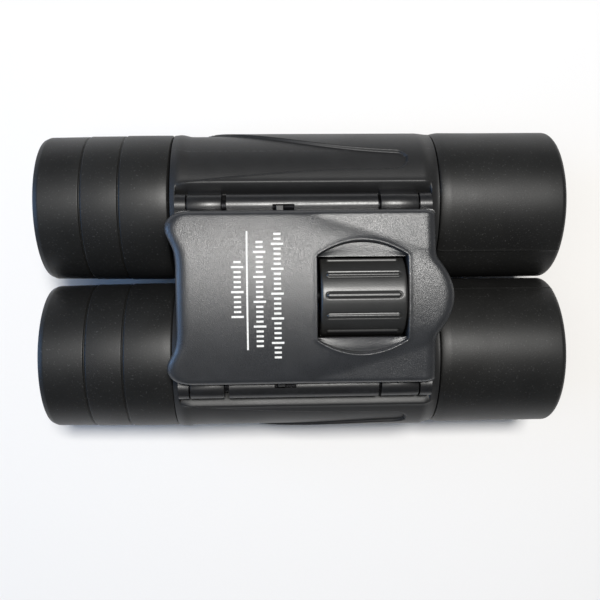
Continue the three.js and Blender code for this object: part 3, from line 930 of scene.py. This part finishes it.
@dataclass
class Bridge:
    """The cover, its frame and everything screwed to them.

    Heights are above the hinge axes. The creases part the crowned middle from a flatter facet on each side.
    """

    seat: Seat
    finishes: Finishes
    half: float = 17.9
    crown: float = 9.0
    edge_drop: float = 2.2
    bottom: float = 2.75
    ceiling: float = 5.3
    wall: float = 1.5
    front: float = 26.9
    front_turn: float = 0.9
    waist: float = -26.3
    rear_turn: float = 2.4
    rear_sweep: float = 1.1
    lobe_out: float = 2.2
    lobe_at: float = 14.4
    lobe_wide: float = 3.6
    tongue_out: float = 3.6
    tongue_half: float = 8.05
    tongue_soft: float = 0.5
    tongue_reach: float = 11.0
    window: tuple[float, float] = (2.4, 20.8)
    opening: float = 8.3
    bow: float = 3.0
    bow_margin: float = 0.25
    crease: tuple[tuple[float, float], tuple[float, float]] = ((-4.0, 18.6), (27.0, 9.3))
    crease_soft: float = 0.3
    soft: float = 1.7
    soft_shares: Triple = (0.6, 1.6, 1.35)
    roll_wide: float = 5.2
    roll_deep: float = 0.45
    roll_starts: tuple[float, float] = (-9.0, 8.0)
    facet_slope: float = 0.1
    bead: Triple = (0.1, 0.34, 0.42)
    nick: tuple[float, float] = (0.12, 0.1)
    hollow: Triple = (0.12, 1.2, 0.3)
    line: tuple[float, float, float] = (-11.8, 13.6, -10.4)
    line_width: float = 0.34
    dashes: tuple[Dashes, ...] = (Dashes(-13.75, -3.6, 12, 0), Dashes(-9.3, -9.6, 22, 1),
                                  Dashes(-5.7, -12.0, 26, 2))
    paint: tuple[float, float] = (-0.04, 0.028)

    def rear_edge(self, y: np.ndarray) -> np.ndarray:
        """x of the rear edge: a waist between two lobes.

        Args:
            y: places across the bridge.

        Returns:
            x at each.
        """
        lobes = self.lobe_out * ridge(np.abs(y) - self.lobe_at, self.lobe_wide)
        corner = fillet(np.abs(y) - (self.half - self.rear_turn), self.rear_turn)
        return self.waist - lobes + corner * self.rear_sweep

    def front_edge(self, y: np.ndarray) -> np.ndarray:
        """x of the front edge: straight, with a rounded tongue in the middle.

        Args:
            y: places across the bridge.

        Returns:
            x at each.
        """
        bulge = self.tongue_out * (1 - (y / self.tongue_half) ** 2)
        tongue = 0.5 * (bulge + np.sqrt(bulge ** 2 + self.tongue_soft ** 2)) - 0.02
        corner = fillet(np.abs(y) - (self.half - self.front_turn), self.front_turn)
        return self.front + np.where(np.abs(y) < self.tongue_reach, tongue, 0) - corner

    def bowed(self, x: np.ndarray) -> np.ndarray:
        """Half width of the hollow round the wheel at x.

        Args:
            x: places along the bridge.

        Returns:
            The half width at each.
        """
        middle = sum(self.window) / 2
        reach = (self.window[1] - self.window[0]) / 2
        return self.opening + self.bow_margin + self.bow * np.clip(1 - ((x - middle) / reach) ** 2, 0, 1)

    def grid(self, inset: float) -> CoverGrid:
        """The plan of the cover's points.

        Args:
            inset: how far its outside is moved in.

        Returns:
            The grid, with the same number of points for every inset.
        """
        rear = spread(self.window[0] - self.waist, FILLET, RIM, 0.62)
        over = spread(self.window[1] - self.window[0], RIM, RIM, 0.5)
        ahead = spread(self.front + self.tongue_out - self.window[1], RIM, FILLET, 0.6)
        flank = spread(self.half - self.opening - self.bow, RIM, FILLET, 0.6)
        ledge = spread(self.bow, RIM[:4], RIM[:4], 0.4)
        inner = np.linspace(-self.opening, self.opening, 45)
        zones = np.concatenate([np.zeros(len(rear) - 1), over, np.ones(len(ahead) - 1) * over[-1]])
        columns = []
        for past in zones:
            bow = float(self.bowed(np.array(self.window[0] + past)))
            upper = np.concatenate([self.opening + (bow - self.opening) * ledge[1:] / ledge[-1],
                                    bow + (self.half - inset - bow) * flank[1:] / flank[-1]])
            columns.append(np.concatenate([-upper[::-1], inner, upper]))
        y = np.array(columns)
        start = self.rear_edge(y) + inset
        end = self.front_edge(y) - inset
        behind = start[:len(rear) - 1]
        before = end[len(rear) + len(over) - 1:]
        x = np.concatenate([
            behind + (self.window[0] - behind) * rear[:-1, None] / rear[-1],
            np.repeat(self.window[0] + over[:, None], y.shape[1], 1),
            self.window[1] + (before - self.window[1]) * ahead[1:, None] / ahead[-1]])
        first = len(ledge) + len(flank) - 2
        rows = (len(rear) - 1, len(rear) + len(over) - 2)
        return CoverGrid(x, y, rows, (first, first + len(inner) - 1))

    def top(self, x: np.ndarray, y: np.ndarray) -> np.ndarray:
        """Height of the cover's top above the hinge axes.

        Args:
            x: places along the bridge.
            y: places across it.

        Returns:
            The heights.
        """
        (x0, y0), (x1, y1) = self.crease
        past = np.abs(y) - (y0 + (y1 - y0) * (x - x0) / (x1 - x0))
        over = 0.5 * (past + np.sqrt(past ** 2 + self.crease_soft))
        z = self.crown - self.edge_drop * ((np.abs(y) - over) / self.half) ** 2 - self.facet_slope * over
        roll = np.clip((past + self.roll_wide) / self.roll_wide, 0, 1)
        z = z - self.roll_deep * roll ** 2 * smoothstep(*self.roll_starts, x)
        inward = (self.half - np.abs(y), x - self.rear_edge(y), self.front_edge(y) - x)
        shares = [np.clip(1 - d / (self.soft * k), 0, 1) ** 2 for d, k in zip(inward, self.soft_shares)]
        z = z - self.soft * (1 - np.sqrt(1 - np.clip(sum(shares), 0, 1)))
        return z + self.rim(x, y)

    def rim(self, x: np.ndarray, y: np.ndarray) -> np.ndarray:
        """Change of the top's height at the rim of the wheel's hollow and inside it.

        Args:
            x: places along the bridge.
            y: places across it.

        Returns:
            The changes.
        """
        bow = self.bowed(x)
        ends = np.minimum(x - self.window[0], self.window[1] - x)
        out_x = np.clip(-ends, 0, None)
        out_y = np.clip(np.abs(y) - np.where(ends >= 0, bow, self.opening), 0, None)
        away = np.hypot(out_x, out_y)
        tall, at, wide = self.bead
        raised = tall * ridge(away - at, wide) - self.nick[0] * ridge(away, self.nick[1])
        depth = (bow - np.abs(y)) / np.maximum(bow - self.opening, 0.2)
        inside = (ends > -1e-6) & (np.abs(y) < bow - 1e-6)
        lip, wall, slope = self.hollow
        fall = lip + wall * smoothstep(0.0, 0.1, depth) + slope * smoothstep(0.05, 1.0, depth)
        return np.where(inside, -fall, raised)

    def underside(self, plan: CoverGrid) -> np.ndarray:
        """The cover's underside: its walls' feet round the outside, and its ceiling inside them.

        Args:
            plan: the plan of its top.

        Returns:
            The points, rows by columns by 3.
        """
        inner = self.grid(self.wall)
        x, y = inner.x, inner.y
        z = np.full_like(x, self.ceiling)
        for edge in (0, -1):
            x[edge], y[edge] = plan.x[edge], plan.y[edge]
            x[:, edge], y[:, edge] = plan.x[:, edge], plan.y[:, edge]
        feet = np.ones_like(x, bool)
        feet[2:-2, 2:-2] = False
        z[feet] = self.bottom
        for a, b in ((1, 2), (-2, -3)):
            x[b, 1:-1], y[b, 1:-1] = x[a, 1:-1], y[a, 1:-1]
            x[1:-1, b], y[1:-1, b] = x[1:-1, a], y[1:-1, a]
        return np.stack([x, y, z], -1)

    def cover(self) -> None:
        """The moulded cover over the bridge."""
        stock = Stock()
        plan = self.grid(0.0)
        keep = np.ones((plan.x.shape[0] - 1, plan.x.shape[1] - 1), bool)
        keep[slice(*plan.rows), slice(*plan.columns)] = False
        top = stock.sheet(np.stack([plan.x, plan.y, self.top(plan.x, plan.y)], -1), keep=keep)
        under = stock.sheet(self.underside(plan), keep=keep)
        stock.stitch(plan.border(top), plan.border(under))
        stock.stitch(plan.opening(top), plan.opening(under))
        stock.piece("cover_moulding", self.seat, self.finishes.cover, "bridge", "cover_plastic",
                    "bridge_cover", sharp=50)

    def marks(self) -> None:
        """A printed line and rows of plain dashes beside it."""
        stock = Stock()
        at, left, right = self.line
        self.stroke(stock, (at, left), (at, right), self.line_width)
        for row in self.dashes:
            for number in range(row.count):
                half = row.half_length(number)
                y = row.start + number * row.pitch
                self.stroke(stock, (row.at - half, y), (row.at + half, y), row.width)
        stock.piece("printed_marks", self.seat, self.finishes.print, "bridge", "cover_plastic")

    def stroke(self, stock: Stock, start: tuple[float, float], end: tuple[float, float],
               width: float) -> None:
        """Adds one printed stroke that follows the cover's top.

        Args:
            stock: where it is added.
            start: its plan (x, y).
            end: its plan (x, y).
            width: of the stroke.
        """
        step = 0.8
        ends = np.array([start, end])
        length = np.linalg.norm(ends[1] - ends[0])
        along = (ends[1] - ends[0]) / length
        across = np.array([-along[1], along[0]]) * width / 2
        count = max(2, int(length / step) + 2)
        line = ends[0] + (ends[1] - ends[0]) * np.linspace(0, 1, count)[:, None]
        sunk, proud = self.paint
        rows = []
        for offset, lift in ((across, sunk), (across, proud), (-across, proud), (-across, sunk)):
            plan = line + offset
            z = self.top(plan[:, 0], plan[:, 1]) + lift
            rows.append(np.concatenate([plan, z[:, None]], 1))
        stock.caps(stock.sheet(np.array(rows), wrap_rows=True).T)

    def build(self) -> None:
        """Every piece of the bridge."""
        self.cover()
        self.marks()
        refined("bridge_frame", self.finishes.inner, "bridge", "black_plastic", 0.18)
        for number in (1, 2, 3, 4):
            refined(f"bridge_screw_{number}", self.finishes.steel, "bridge", "steel", 0.1)
        for end in ("rear", "front"):
            refined(f"{end}_shaft_bush", self.finishes.brass, "bridge", "brass", 0.08)
        for side in Side:
            refined(side.node("hinge_pin"), self.finishes.dark_steel, "bridge", "steel", 0.1)


# ------------------------------------------------------------------ focus drive
@dataclass
class FocusDrive:
    """The wheel, its screw and the carriage it moves."""

    seat: Seat
    finishes: Finishes
    axis: float = 2.0
    radius: float = 8.45
    span: tuple[float, float] = (3.0, 20.4)
    ribs: int = 12
    turn: float = 0.07
    rib_half: float = 0.37
    rib_tall: float = 0.24
    rib_span: tuple[float, float] = (4.3, 19.0)
    rib_flank: tuple[float, float] = (0.12, -0.18)
    moat: Triple = (0.13, 0.23, 0.14)
    eased: float = 0.5
    bore: float = 6.9
    thread: tuple[float, float] = (1.6, 1.95)
    thread_start: float = -14.0
    crest_pitch: float = 0.6
    crests: int = 24

    def grip(self) -> None:
        """The rubber tyre, with a shallow moat round each rib."""
        x = stations(self.span[0], self.span[1], 0.45, (*self.rib_span, *self.span), 0.16)
        pitch = 2 * math.pi / self.ribs
        over_rib = [k * 0.012 for k in range(-9, 10)]
        beside = [side * a for side in (1, -1) for a in (0.13, 0.17, 0.21)]
        all_round = sorted(n * pitch + a for n in range(self.ribs) for a in over_rib + beside)
        angles = np.array(all_round) + self.turn
        xs, a = np.meshgrid(x, angles, indexing="ij")
        off = (np.mod(a - self.turn + pitch / 2, pitch) - pitch / 2) * self.radius
        start, end = self.rib_span[0] + self.rib_half, self.rib_span[1] - self.rib_half
        past = np.clip(np.maximum(start - xs, xs - end), 0, None)
        away = np.hypot(past, off) - self.rib_half
        deep, at, wide = self.moat
        ends = np.minimum(xs - self.span[0], self.span[1] - xs)
        r = self.radius + self.rib_tall * smoothstep(*self.rib_flank, away) - deep * ridge(away - at, wide)
        r = r - fillet(self.eased - ends, self.eased)
        ends, turns = np.meshgrid(self.span, angles, indexing="ij")
        stock = Stock()
        stock.pipe(around(xs, r, a, self.axis), around(ends, self.bore, turns, self.axis))
        stock.piece("wheel_tyre", self.seat, self.finishes.wheel, "focus_wheel", "wheel_rubber",
                    "focus_wheel_grip")

    def core(self) -> None:
        """The moulded hub inside the tyre, with a dished face at each end."""
        face = [(0.0, 1.8), (0.0, 2.9), (1.0, 3.4), (1.0, 5.6), (0.0, 6.0), (0.0, 6.75)]
        start, end = self.span[0] + 0.2, self.span[1] - 0.2
        profile = [(start + dip, r) for dip, r in face] + [(end - dip, r) for dip, r in face[::-1]]
        stock = Stock()
        stock.turned(softened(profile, 0.25), 72, z=self.axis)
        stock.piece("wheel_hub", self.seat, self.finishes.inner, "focus_wheel", "black_plastic",
                    "focus_wheel_core")

    def screw(self) -> None:
        """The threaded shaft, its crests as far apart as those of a five-start thread with a 3 mm lead."""
        root, crest = self.thread
        profile: Profile = [(-23.4, 0), (-23.4, 1.35), (-23.25, 1.5), (-14.5, 1.5)]
        for number in range(self.crests):
            x = self.thread_start + number * self.crest_pitch
            profile += [(x, root), (x + 0.24, crest), (x + 0.36, crest)]
        profile += [(1.0, root), (1.5, 1.55), (24.85, 1.55), (25.0, 1.4), (25.0, 0)]
        stock = Stock()
        stock.turned(profile, 40, z=self.axis)
        stock.piece("threaded_shaft", self.seat, self.finishes.dark_steel, "focus_wheel", "steel",
                    "focus_screw")

    def build(self) -> None:
        """Every piece of the drive."""
        self.grip()
        self.core()
        self.screw()
        refined("focus_carriage", self.finishes.shell, "carriage", "black_plastic", 0.15)
        refined("focus_nut", self.finishes.brass, "carriage", "brass", 0.06)


# ------------------------------------------------------------------ barrels
@dataclass
class Barrel:
    """One barrel: its shell, sleeve, tubes and prisms.

    Angles are measured from the hinge, outwards. Places are outwards, and then towards the hinge, from the
    barrel's axis.
    """

    side: Side
    seat: Seat
    finishes: Finishes
    radius: float = 16.7
    shoulder: float = 0.75
    shoulder_rise: tuple[float, float] = (-60.0, -22.0)
    shoulder_fall: tuple[float, float] = (30.0, 84.0)
    end_radius: float = 16.4
    rear_taper: float = 3.6
    front_taper: float = 3.3
    span: tuple[float, float] = (-28.15, 29.2)
    bore: float = 14.6
    wall: float = 0.7
    arm: float = 17.0
    groove: float = 3.0
    groove_span: tuple[float, float] = (-27.0, 27.4)
    hinge_reach: float = 0.5
    lip: tuple[float, float] = (4.5, 17.0)
    lip_soft: float = 1.5
    bead: Triple = (0.16, 0.03, 0.55)
    floor: tuple[float, float] = (2.6, 15.1)
    inner_slope: float = -0.38
    wheel_axis: float = 2.0
    wheel_room: float = 9.0
    wheel_room_span: tuple[float, float] = (2.2, 21.3)
    grip_middle: float = 36.0
    grip_depth: float = 0.62
    grip_tip: float = 20.0
    grip_nose: float = 2.6
    grip_long: float = 46.0
    grip_upper: Triple = (2.3, 3.2, 12.0)
    grip_lower: Triple = (-2.9, -0.1, -2.8)
    angle_steps: tuple[Triple, ...] = ((-40, 92, 0.4), (92, 282, 2.5), (282, 320, 1.0))
    knuckle_spans: tuple[tuple[float, float], ...] = ((-24.3, -17.1), (16.2, 24.2))
    knuckle: float = 2.6
    stops: int = 12
    stop_pitch: float = 0.5

    @property
    def body(self) -> str:
        """The CAD body of the barrel."""
        return self.side.node("barrel")

    @property
    def seams(self) -> tuple[float, float]:
        """Angles of the sleeve's two mould lines, in degrees; the right sleeve was pushed on turned."""
        first = -37.0 if self.side is Side.LEFT else -80.0
        return first, first + 180.0

    def wheel_centre(self, layout: Layout) -> tuple[float, float]:
        """The focus axis as this barrel sees it: outwards, and towards its hinge.

        Args:
            layout: the seats of the bridge and the barrels.

        Returns:
            The two places, in millimetres.
        """
        bridge = layout.bridge.matrix() @ Vector((0, 0, self.wheel_axis))
        seen = self.seat.matrix().inverted() @ bridge
        return seen.y, seen.z

    def grip_dip(self, x: np.ndarray, angle: np.ndarray) -> np.ndarray:
        """Depth of the thumb grip, a drop that narrows towards the objective.

        Args:
            x: along the barrel.
            angle: from the hinge, outwards, in radians.

        Returns:
            How far the surface is set in.
        """
        v = self.radius * np.sin(np.clip(angle - math.radians(self.grip_middle), -1.4, 1.4))
        t = np.clip((self.grip_tip - x) / self.grip_long, 0, 1)
        tip = np.clip(x - self.grip_tip, 0, self.grip_nose)
        narrow = np.sqrt(np.clip(1 - (tip / self.grip_nose) ** 2, 0, 1))
        upper, lower = (a + b * t + c * t ** 2 for a, b, c in (self.grip_upper, self.grip_lower))
        upper, lower = upper * narrow, lower * narrow - 0.3 * (1 - narrow)
        inside = smoothstep(0.0, 0.4, upper - v) * smoothstep(0.0, 0.5, v - lower)
        rear = smoothstep(self.span[0] + 0.8, self.span[0] + 4.0, x)
        reached = (x < self.grip_tip + self.grip_nose) & (np.abs(angle) < 2.4)
        return self.grip_depth * inside * rear * reached

    def crest(self, x: np.ndarray, angle: np.ndarray) -> np.ndarray:
        """Radius of the shell before anything is cut: raised near the hinge, with a bead along its lip.

        Args:
            x: along the barrel.
            angle: from the hinge, outwards, in radians.

        Returns:
            The radius at each point.
        """
        degrees = np.degrees(angle)
        raised = smoothstep(*self.shoulder_rise, degrees) * (1 - smoothstep(*self.shoulder_fall, degrees))
        tall, shift, wide = self.bead
        along = smoothstep(self.span[0] + 0.4, self.span[0] + 3.0, x)
        away = (angle - math.atan2(*self.lip) - shift) * self.radius
        bead = tall * ridge(away, wide) * along
        return self.radius + self.shoulder * raised - self.grip_dip(x, angle) + bead

    def trough(self, angle: np.ndarray) -> np.ndarray:
        """Distance from the axis to the walls and the floor of the hinge's trough.

        Args:
            angle: from the hinge, outwards, in radians.

        Returns:
            The distance at each angle.
        """
        out, up = self.floor
        slope = (self.lip[1] - up) / (self.lip[0] - out)
        walls = np.maximum(ray_to_line(angle, out, up, slope), ray_to_line(angle, -out, up, self.inner_slope))
        return np.maximum(walls, ray_to_line(angle, 0.0, up, 0.0))

    def skin(self, x: np.ndarray, angle: np.ndarray, centre: tuple[float, float]) -> np.ndarray:
        """Radius of the shell.

        Args:
            x: along the barrel.
            angle: from the hinge, outwards, in radians.
            centre: the focus axis, outwards and towards the hinge.

        Returns:
            The radius at each point.
        """
        r = self.crest(x, angle)
        near = np.abs(angle) < self.hinge_reach
        cut = np.where(near, rounded_least(r, self.trough(angle), self.lip_soft), r)
        hollow, met = ray_to_circle(angle, 0.0, self.arm, self.groove)
        cut = np.where(near & met, np.minimum(cut, hollow), cut)
        r = r + (cut - r) * within(x, self.groove_span, 0.1, 0.3)
        dish, met = ray_to_circle(angle, *centre, self.wheel_room)
        r = np.where(met, r + (np.minimum(r, dish) - r) * within(x, self.wheel_room_span, 0.2, 0.2), r)
        rear = np.clip(1 - (x - self.span[0]) / self.rear_taper, 0, 1) ** 1.5
        r = r - np.clip(r - self.end_radius, 0, None) * rear
        front = smoothstep(self.span[1] - self.front_taper, self.span[1], x)
        return r - np.clip(r - self.end_radius, 0, None) * front

    def shell(self, layout: Layout) -> None:
        """The moulded shell, closely stepped near its hinge.

        Args:
            layout: the seats of the bridge and the barrels.
        """
        breaks = (self.span[0] + 0.4, self.span[1] - 0.4, *self.groove_span, *self.wheel_room_span)
        x = stations(self.span[0], self.span[1], 0.36, breaks)
        turns = np.radians(np.concatenate([np.arange(*steps) for steps in self.angle_steps]))
        angles = np.sort(np.mod(turns + math.pi, 2 * math.pi) - math.pi)
        xs, a = np.meshgrid(x, angles, indexing="ij")
        r = self.skin(xs, a, self.wheel_centre(layout))
        stock = Stock()
        stock.pipe(around(xs, r, a), around(xs, np.minimum(self.bore, r - self.wall), a))
        stock.piece(self.side.node("shell_moulding"), self.seat, self.finishes.shell, self.body,
                    "shell_plastic", self.side.node("barrel_shell"), sharp=52)

    def knuckles(self) -> None:
        """The two hinge knuckles with the webs that carry them."""
        stock = Stock()
        web = [(-1.2, 13.9), (4.3, 14.2), (4.3, 15.1), (3.3, 15.9), (2.45, 17.7), (-0.6, 18.2)]
        for x0, x1 in self.knuckle_spans:
            stock.along([(y, z + self.arm) for y, z in circle(self.knuckle, 28)], x0, x1, 0.2)
            stock.along(web, x0 + 0.02, x1 - 0.02, 0.3)
        stock.piece(self.side.node("shell_knuckles"), self.seat, self.finishes.inner, self.body,
                    "shell_plastic")

    def sleeve(self) -> None:
        """The rubber sleeve over the objective tube."""
        profile = [(29.5, 15.9), (29.5, 16.3), (30.2, 16.55), (31.4, 16.75), (40.0, 16.7), (52.0, 16.72),
                   (56.2, 16.72), (57.0, 15.95), (57.0, 14.9), (56.5, 14.2), (55.5, 14.15), (55.45, 15.9)]
        stock = Stock()
        stock.turned(softened(profile, 0.5, 5), 200, ripple=Ripple(self.seams))
        stock.piece(self.side.node("front_rubber"), self.seat, self.finishes.rubber, self.body, "rubber",
                    self.side.node("objective_sleeve"))

    def tube(self) -> None:
        """The objective tube, with light stops cut in its mouth."""
        profile: Profile = [(23.7, 13.3), (23.7, 14.1), (29.5, 14.1), (29.5, 15.6), (55.3, 15.6),
                            (55.3, 14.9)]
        for number in range(self.stops):
            x = 55.0 - number * self.stop_pitch
            profile += [(x, 14.92), (x - self.stop_pitch / 2, 14.72)]
        profile += [(48.9, 14.75), (31.4, 14.75), (30.2, 13.3)]
        stock = Stock()
        stock.turned(profile, 120)
        stock.piece(self.side.node("front_tube"), self.seat, self.finishes.anodised, self.body, "anodised",
                    self.side.node("objective_tube"))

    def build(self, layout: Layout) -> None:
        """Every fixed piece of the barrel.

        Args:
            layout: the seats of the bridge and the barrels.
        """
        self.shell(layout)
        self.knuckles()
        self.sleeve()
        self.tube()
        look = self.finishes
        inside = (("prism_cage", look.inner, "black_plastic"), ("field_stop", look.anodised, "anodised"),
                  ("eyepiece_tube", look.inner, "black_plastic"), ("prism_clip", look.steel, "steel"),
                  ("roof_prism", look.plain_glass, "prism_glass"),
                  ("half_penta_prism", look.plain_glass, "prism_glass"))
        for part, material, slot in inside:
            refined(self.side.node(part), material, self.body, slot, 0.1)


def lens(front: float, rear: float, radius: float, bulge: float, hollow: float, steps: int = 14) -> Profile:
    """Outline of a lens.

    Args:
        front: x of the front's edge.
        rear: x of the rear's edge.
        radius: of the lens.
        bulge: how far the front's middle stands forward.
        hollow: how far the rear's middle stands back.
        steps: points on each face.

    Returns:
        The outline from the axis to the axis.
    """
    shares = np.linspace(0, 1, steps)
    ahead = [(front + bulge * (1 - s * s), radius * s) for s in shares]
    behind = [(rear - hollow * (1 - s * s), radius * s) for s in shares[::-1]]
    return ahead + behind


@dataclass
class Objective:
    """The sliding objective of one barrel."""

    side: Side
    seat: Seat
    finishes: Finishes
    lens_radius: float = 13.85

    @property
    def body(self) -> str:
        """The CAD body of the objective."""
        return self.side.node("objective")

    def turned(self, name: str, profile: Profile, material: bpy.types.Material, slot: str, node: str,
               sides: int = 112) -> None:
        """Makes one turned piece in place of its CAD node.

        Args:
            name: the piece's name without its side.
            profile: its (x, radius) outline.
            material: its finish.
            slot: the record's material slot; not used.
            node: the CAD node without its side.
            sides: facets round the axis.
        """
        stock = Stock()
        stock.turned(profile, sides)
        stock.piece(self.side.node(name), self.seat, material, self.body, slot, self.side.node(node))

    def build(self) -> None:
        """Every piece of the objective."""
        look = self.finishes
        cell = [(36.5, 12.2), (36.5, 13.3), (38.4, 13.4), (38.9, 14.5), (48.4, 14.5), (48.4, 14.05),
                (41.0, 14.05), (41.0, 13.0), (38.0, 12.2)]
        self.turned("lens_cell", softened(cell, 0.2), look.anodised, "anodised", "objective_cell")
        ring = [(45.5, 13.1), (45.5, 13.85), (48.2, 13.85), (48.2, 13.3), (47.9, 12.95), (47.0, 12.95)]
        self.turned("retaining_ring", softened(ring, 0.12), look.anodised, "anodised", "objective_lock_ring")
        crown = lens(45.2, 43.6, self.lens_radius, 1.65, 1.65)
        self.turned("front_element", crown, look.coated, "coated_glass", "objective_crown_lens", 128)
        flint = lens(43.35, 41.2, self.lens_radius, -1.65, -0.1)
        self.turned("rear_element", flint, look.plain_glass, "coated_glass", "objective_flint_lens", 128)
        refined(self.side.node("focus_arm"), look.dark_steel, self.body, "steel", 0.1)
        refined(self.side.node("focus_rod"), look.dark_steel, self.body, "steel", 0.08)


@dataclass
class Eyepiece:
    """One eyepiece: its rubber eyecup, cap and lenses."""

    side: Side
    seat: Seat
    finishes: Finishes
    radius: float = 16.45
    lens_radius: float = 8.55
    folds: tuple[tuple[float, float], ...] = ((-39.1, 0.12), (-47.2, 0.26))

    @property
    def shift(self) -> float:
        """How far this eyepiece is screwed in, from where its eyecup starts."""
        low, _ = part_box(self.side.node("eyecup"))
        left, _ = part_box(Side.LEFT.node("eyecup"))
        return (low.x - left.x) / MM

    @property
    def outside_body(self) -> str:
        """The body that the cap and the eyecup ride on."""
        return "left_barrel" if self.side is Side.LEFT else "right_eyepiece"

    @property
    def lens_body(self) -> str:
        """The body that the lens cell rides on."""
        return "left_barrel" if self.side is Side.LEFT else "right_eyepiece_lenses"

    def turned(self, name: str, profile: Profile, material: bpy.types.Material, body: str, slot: str,
               node: str, sides: int = 112) -> None:
        """Makes one turned piece in place of its CAD node.

        Args:
            name: the piece's name without its side.
            profile: its (x, radius) outline.
            material: its finish.
            body: the CAD body it rides on.
            slot: the record's material slot; not used.
            node: the CAD node without its side.
            sides: facets round the axis.
        """
        stock = Stock()
        stock.turned([(x + self.shift, r) for x, r in profile], sides)
        stock.piece(self.side.node(name), self.seat, material, body, slot, self.side.node(node))

    def eyecup(self) -> None:
        """The fold-down rubber: it steps in a little at each of its thin fold lines."""
        r = self.radius
        profile: Profile = [(-28.4, 14.7), (-28.4, 15.9), (-28.8, r - 0.03), (-31.0, r)]
        for x, step in self.folds:
            profile += [(x + 0.35, r + 0.1 - step), (x + 0.1, r - 0.28 - step), (x - 0.12, r - 0.26 - step),
                        (x - 0.22, r - step), (x - 0.6, r - step)]
        profile += [(-55.9, r - 0.38), (-57.0, 15.6), (-57.0, 15.1), (-50.2, 13.7), (-48.95, 12.95),
                    (-48.8, 14.7)]
        self.turned("fold_down_rubber", softened(profile, 0.16, 2), self.finishes.rubber, self.outside_body,
                    "rubber", "eyecup", 200)

    def build(self) -> None:
        """Every piece of the eyepiece."""
        look = self.finishes
        self.eyecup()
        cap = [(-48.6, 8.4), (-48.6, 13.9), (-48.2, 14.4), (-29.0, 14.4), (-29.0, 13.15), (-47.0, 13.15),
               (-47.0, 8.4)]
        self.turned("end_cap", softened(cap, 0.3), look.inner, self.outside_body, "black_plastic",
                    "eyepiece_cap")
        cell = [(-46.4, 8.75), (-46.4, 11.8), (-29.5, 11.8), (-29.5, 8.75), (-36.4, 8.75), (-36.4, 7.7),
                (-42.2, 7.7), (-42.2, 8.75)]
        self.turned("ocular_cell", softened(cell, 0.15), look.anodised, self.lens_body, "anodised",
                    "eyepiece_cell")
        eye = lens(-43.4, -45.8, self.lens_radius, 0.95, 1.35)
        self.turned("eye_element", eye, look.coated, self.lens_body, "coated_glass", "eye_lens", 96)
        field = lens(-31.9, -33.9, self.lens_radius, 0.75, 1.55)
        self.turned("field_element", field, look.plain_glass, self.lens_body, "coated_glass", "field_lens",
                    96)


# ------------------------------------------------------------------ studio
@dataclass(frozen=True)
class SoftBox:
    """One area light, in metres."""

    name: str
    place: Triple
    aim: Triple
    size: tuple[float, float]
    watts: float
    colour: Triple

    def build(self) -> None:
        """Adds the light."""
        data = bpy.data.lights.new(self.name, "AREA")
        data.shape = "RECTANGLE"
        data.size, data.size_y = self.size
        data.energy = self.watts
        data.color = self.colour
        lamp = bpy.data.objects.new(self.name, data)
        lamp.location = self.place
        lamp.rotation_euler = (Vector(self.aim) - Vector(self.place)).to_track_quat("-Z", "Y").to_euler()
        bpy.context.scene.collection.objects.link(lamp)


@dataclass
class Studio:
    """The table, the lights and the camera."""

    finishes: Finishes
    camera_mm: Triple = (-7.05, 1.986, 194.83)
    camera_turn: Triple = (-0.0376257, -0.0386570, -0.0110255)
    focal_share: float = 760 / 600
    sensor: float = 36.0
    table_half: float = 3.0
    table_drop: float = 0.00012
    table_points: int = 13
    room_colour: Triple = (0.8, 0.88, 1.0)
    room_strength: float = 0.08

    def table(self) -> None:
        """The pale table top, wide enough to reach far behind the object."""
        steps = np.linspace(-self.table_half, self.table_half, self.table_points)
        xs, ys = np.meshgrid(steps, steps, indexing="ij")
        stock = Stock()
        stock.sheet(np.stack([xs, ys, np.full_like(xs, -self.table_drop)], -1))
        mesh = stock.mesh("table_top")
        mesh.materials.append(self.finishes.table)
        top = bpy.data.objects.new("table_top", mesh)
        bpy.context.scene.collection.objects.link(top)

    def lights(self) -> None:
        """A soft light overhead, a wider and weaker one beside it, and a blue one from the eyepieces' end."""
        boxes = (
            SoftBox("overhead", (0.048, 0.18, 0.75), (0, 0, 0.02), (0.17, 0.14), 6.7, (1.0, 0.985, 0.955)),
            SoftBox("ceiling", (-0.24, -0.02, 0.8), (-0.03, 0, 0.02), (0.5, 0.4), 0.85, (1.0, 0.99, 0.97)),
            SoftBox("window", (-0.8, 0.05, 0.25), (0, 0, 0.02), (0.5, 0.4), 3.4, (0.3, 0.55, 1.0)),
        )
        for box in boxes:
            box.build()
        world = bpy.data.worlds.new("room light")
        bpy.context.scene.world = world
        world.use_nodes = True
        back = world.node_tree.nodes["Background"]
        back.inputs["Color"].default_value = (*self.room_colour, 1)
        back.inputs["Strength"].default_value = self.room_strength

    def camera(self) -> None:
        """The camera almost straight above, as a person looks down at the table."""
        data = bpy.data.cameras.new("camera")
        data.sensor_width = self.sensor
        data.lens = self.sensor * self.focal_share
        data.clip_start = 0.01
        camera = bpy.data.objects.new("camera", data)
        camera.location = Vector(self.camera_mm) * MM
        camera.rotation_euler = self.camera_turn
        bpy.context.scene.collection.objects.link(camera)
        bpy.context.scene.camera = camera

    def build(self) -> None:
        """Everything round the object."""
        self.table()
        self.lights()
        self.camera()
        view = bpy.context.scene.view_settings
        view.view_transform = "Standard"
        view.look = "None"


def main() -> None:
    """Builds every sub-assembly and the studio."""
    logging.basicConfig(level=logging.INFO, format="%(message)s")
    finishes = Finishes()
    layout = Layout.read()
    Bridge(layout.bridge, finishes).build()
    FocusDrive(layout.bridge, finishes).build()
    for side in Side:
        seat = layout.barrel(side)
        Barrel(side, seat, finishes).build(layout)
        Objective(side, seat, finishes).build()
        Eyepiece(side, seat, finishes).build()
    Studio(finishes).build()


if __name__ == "__main__":
    main()
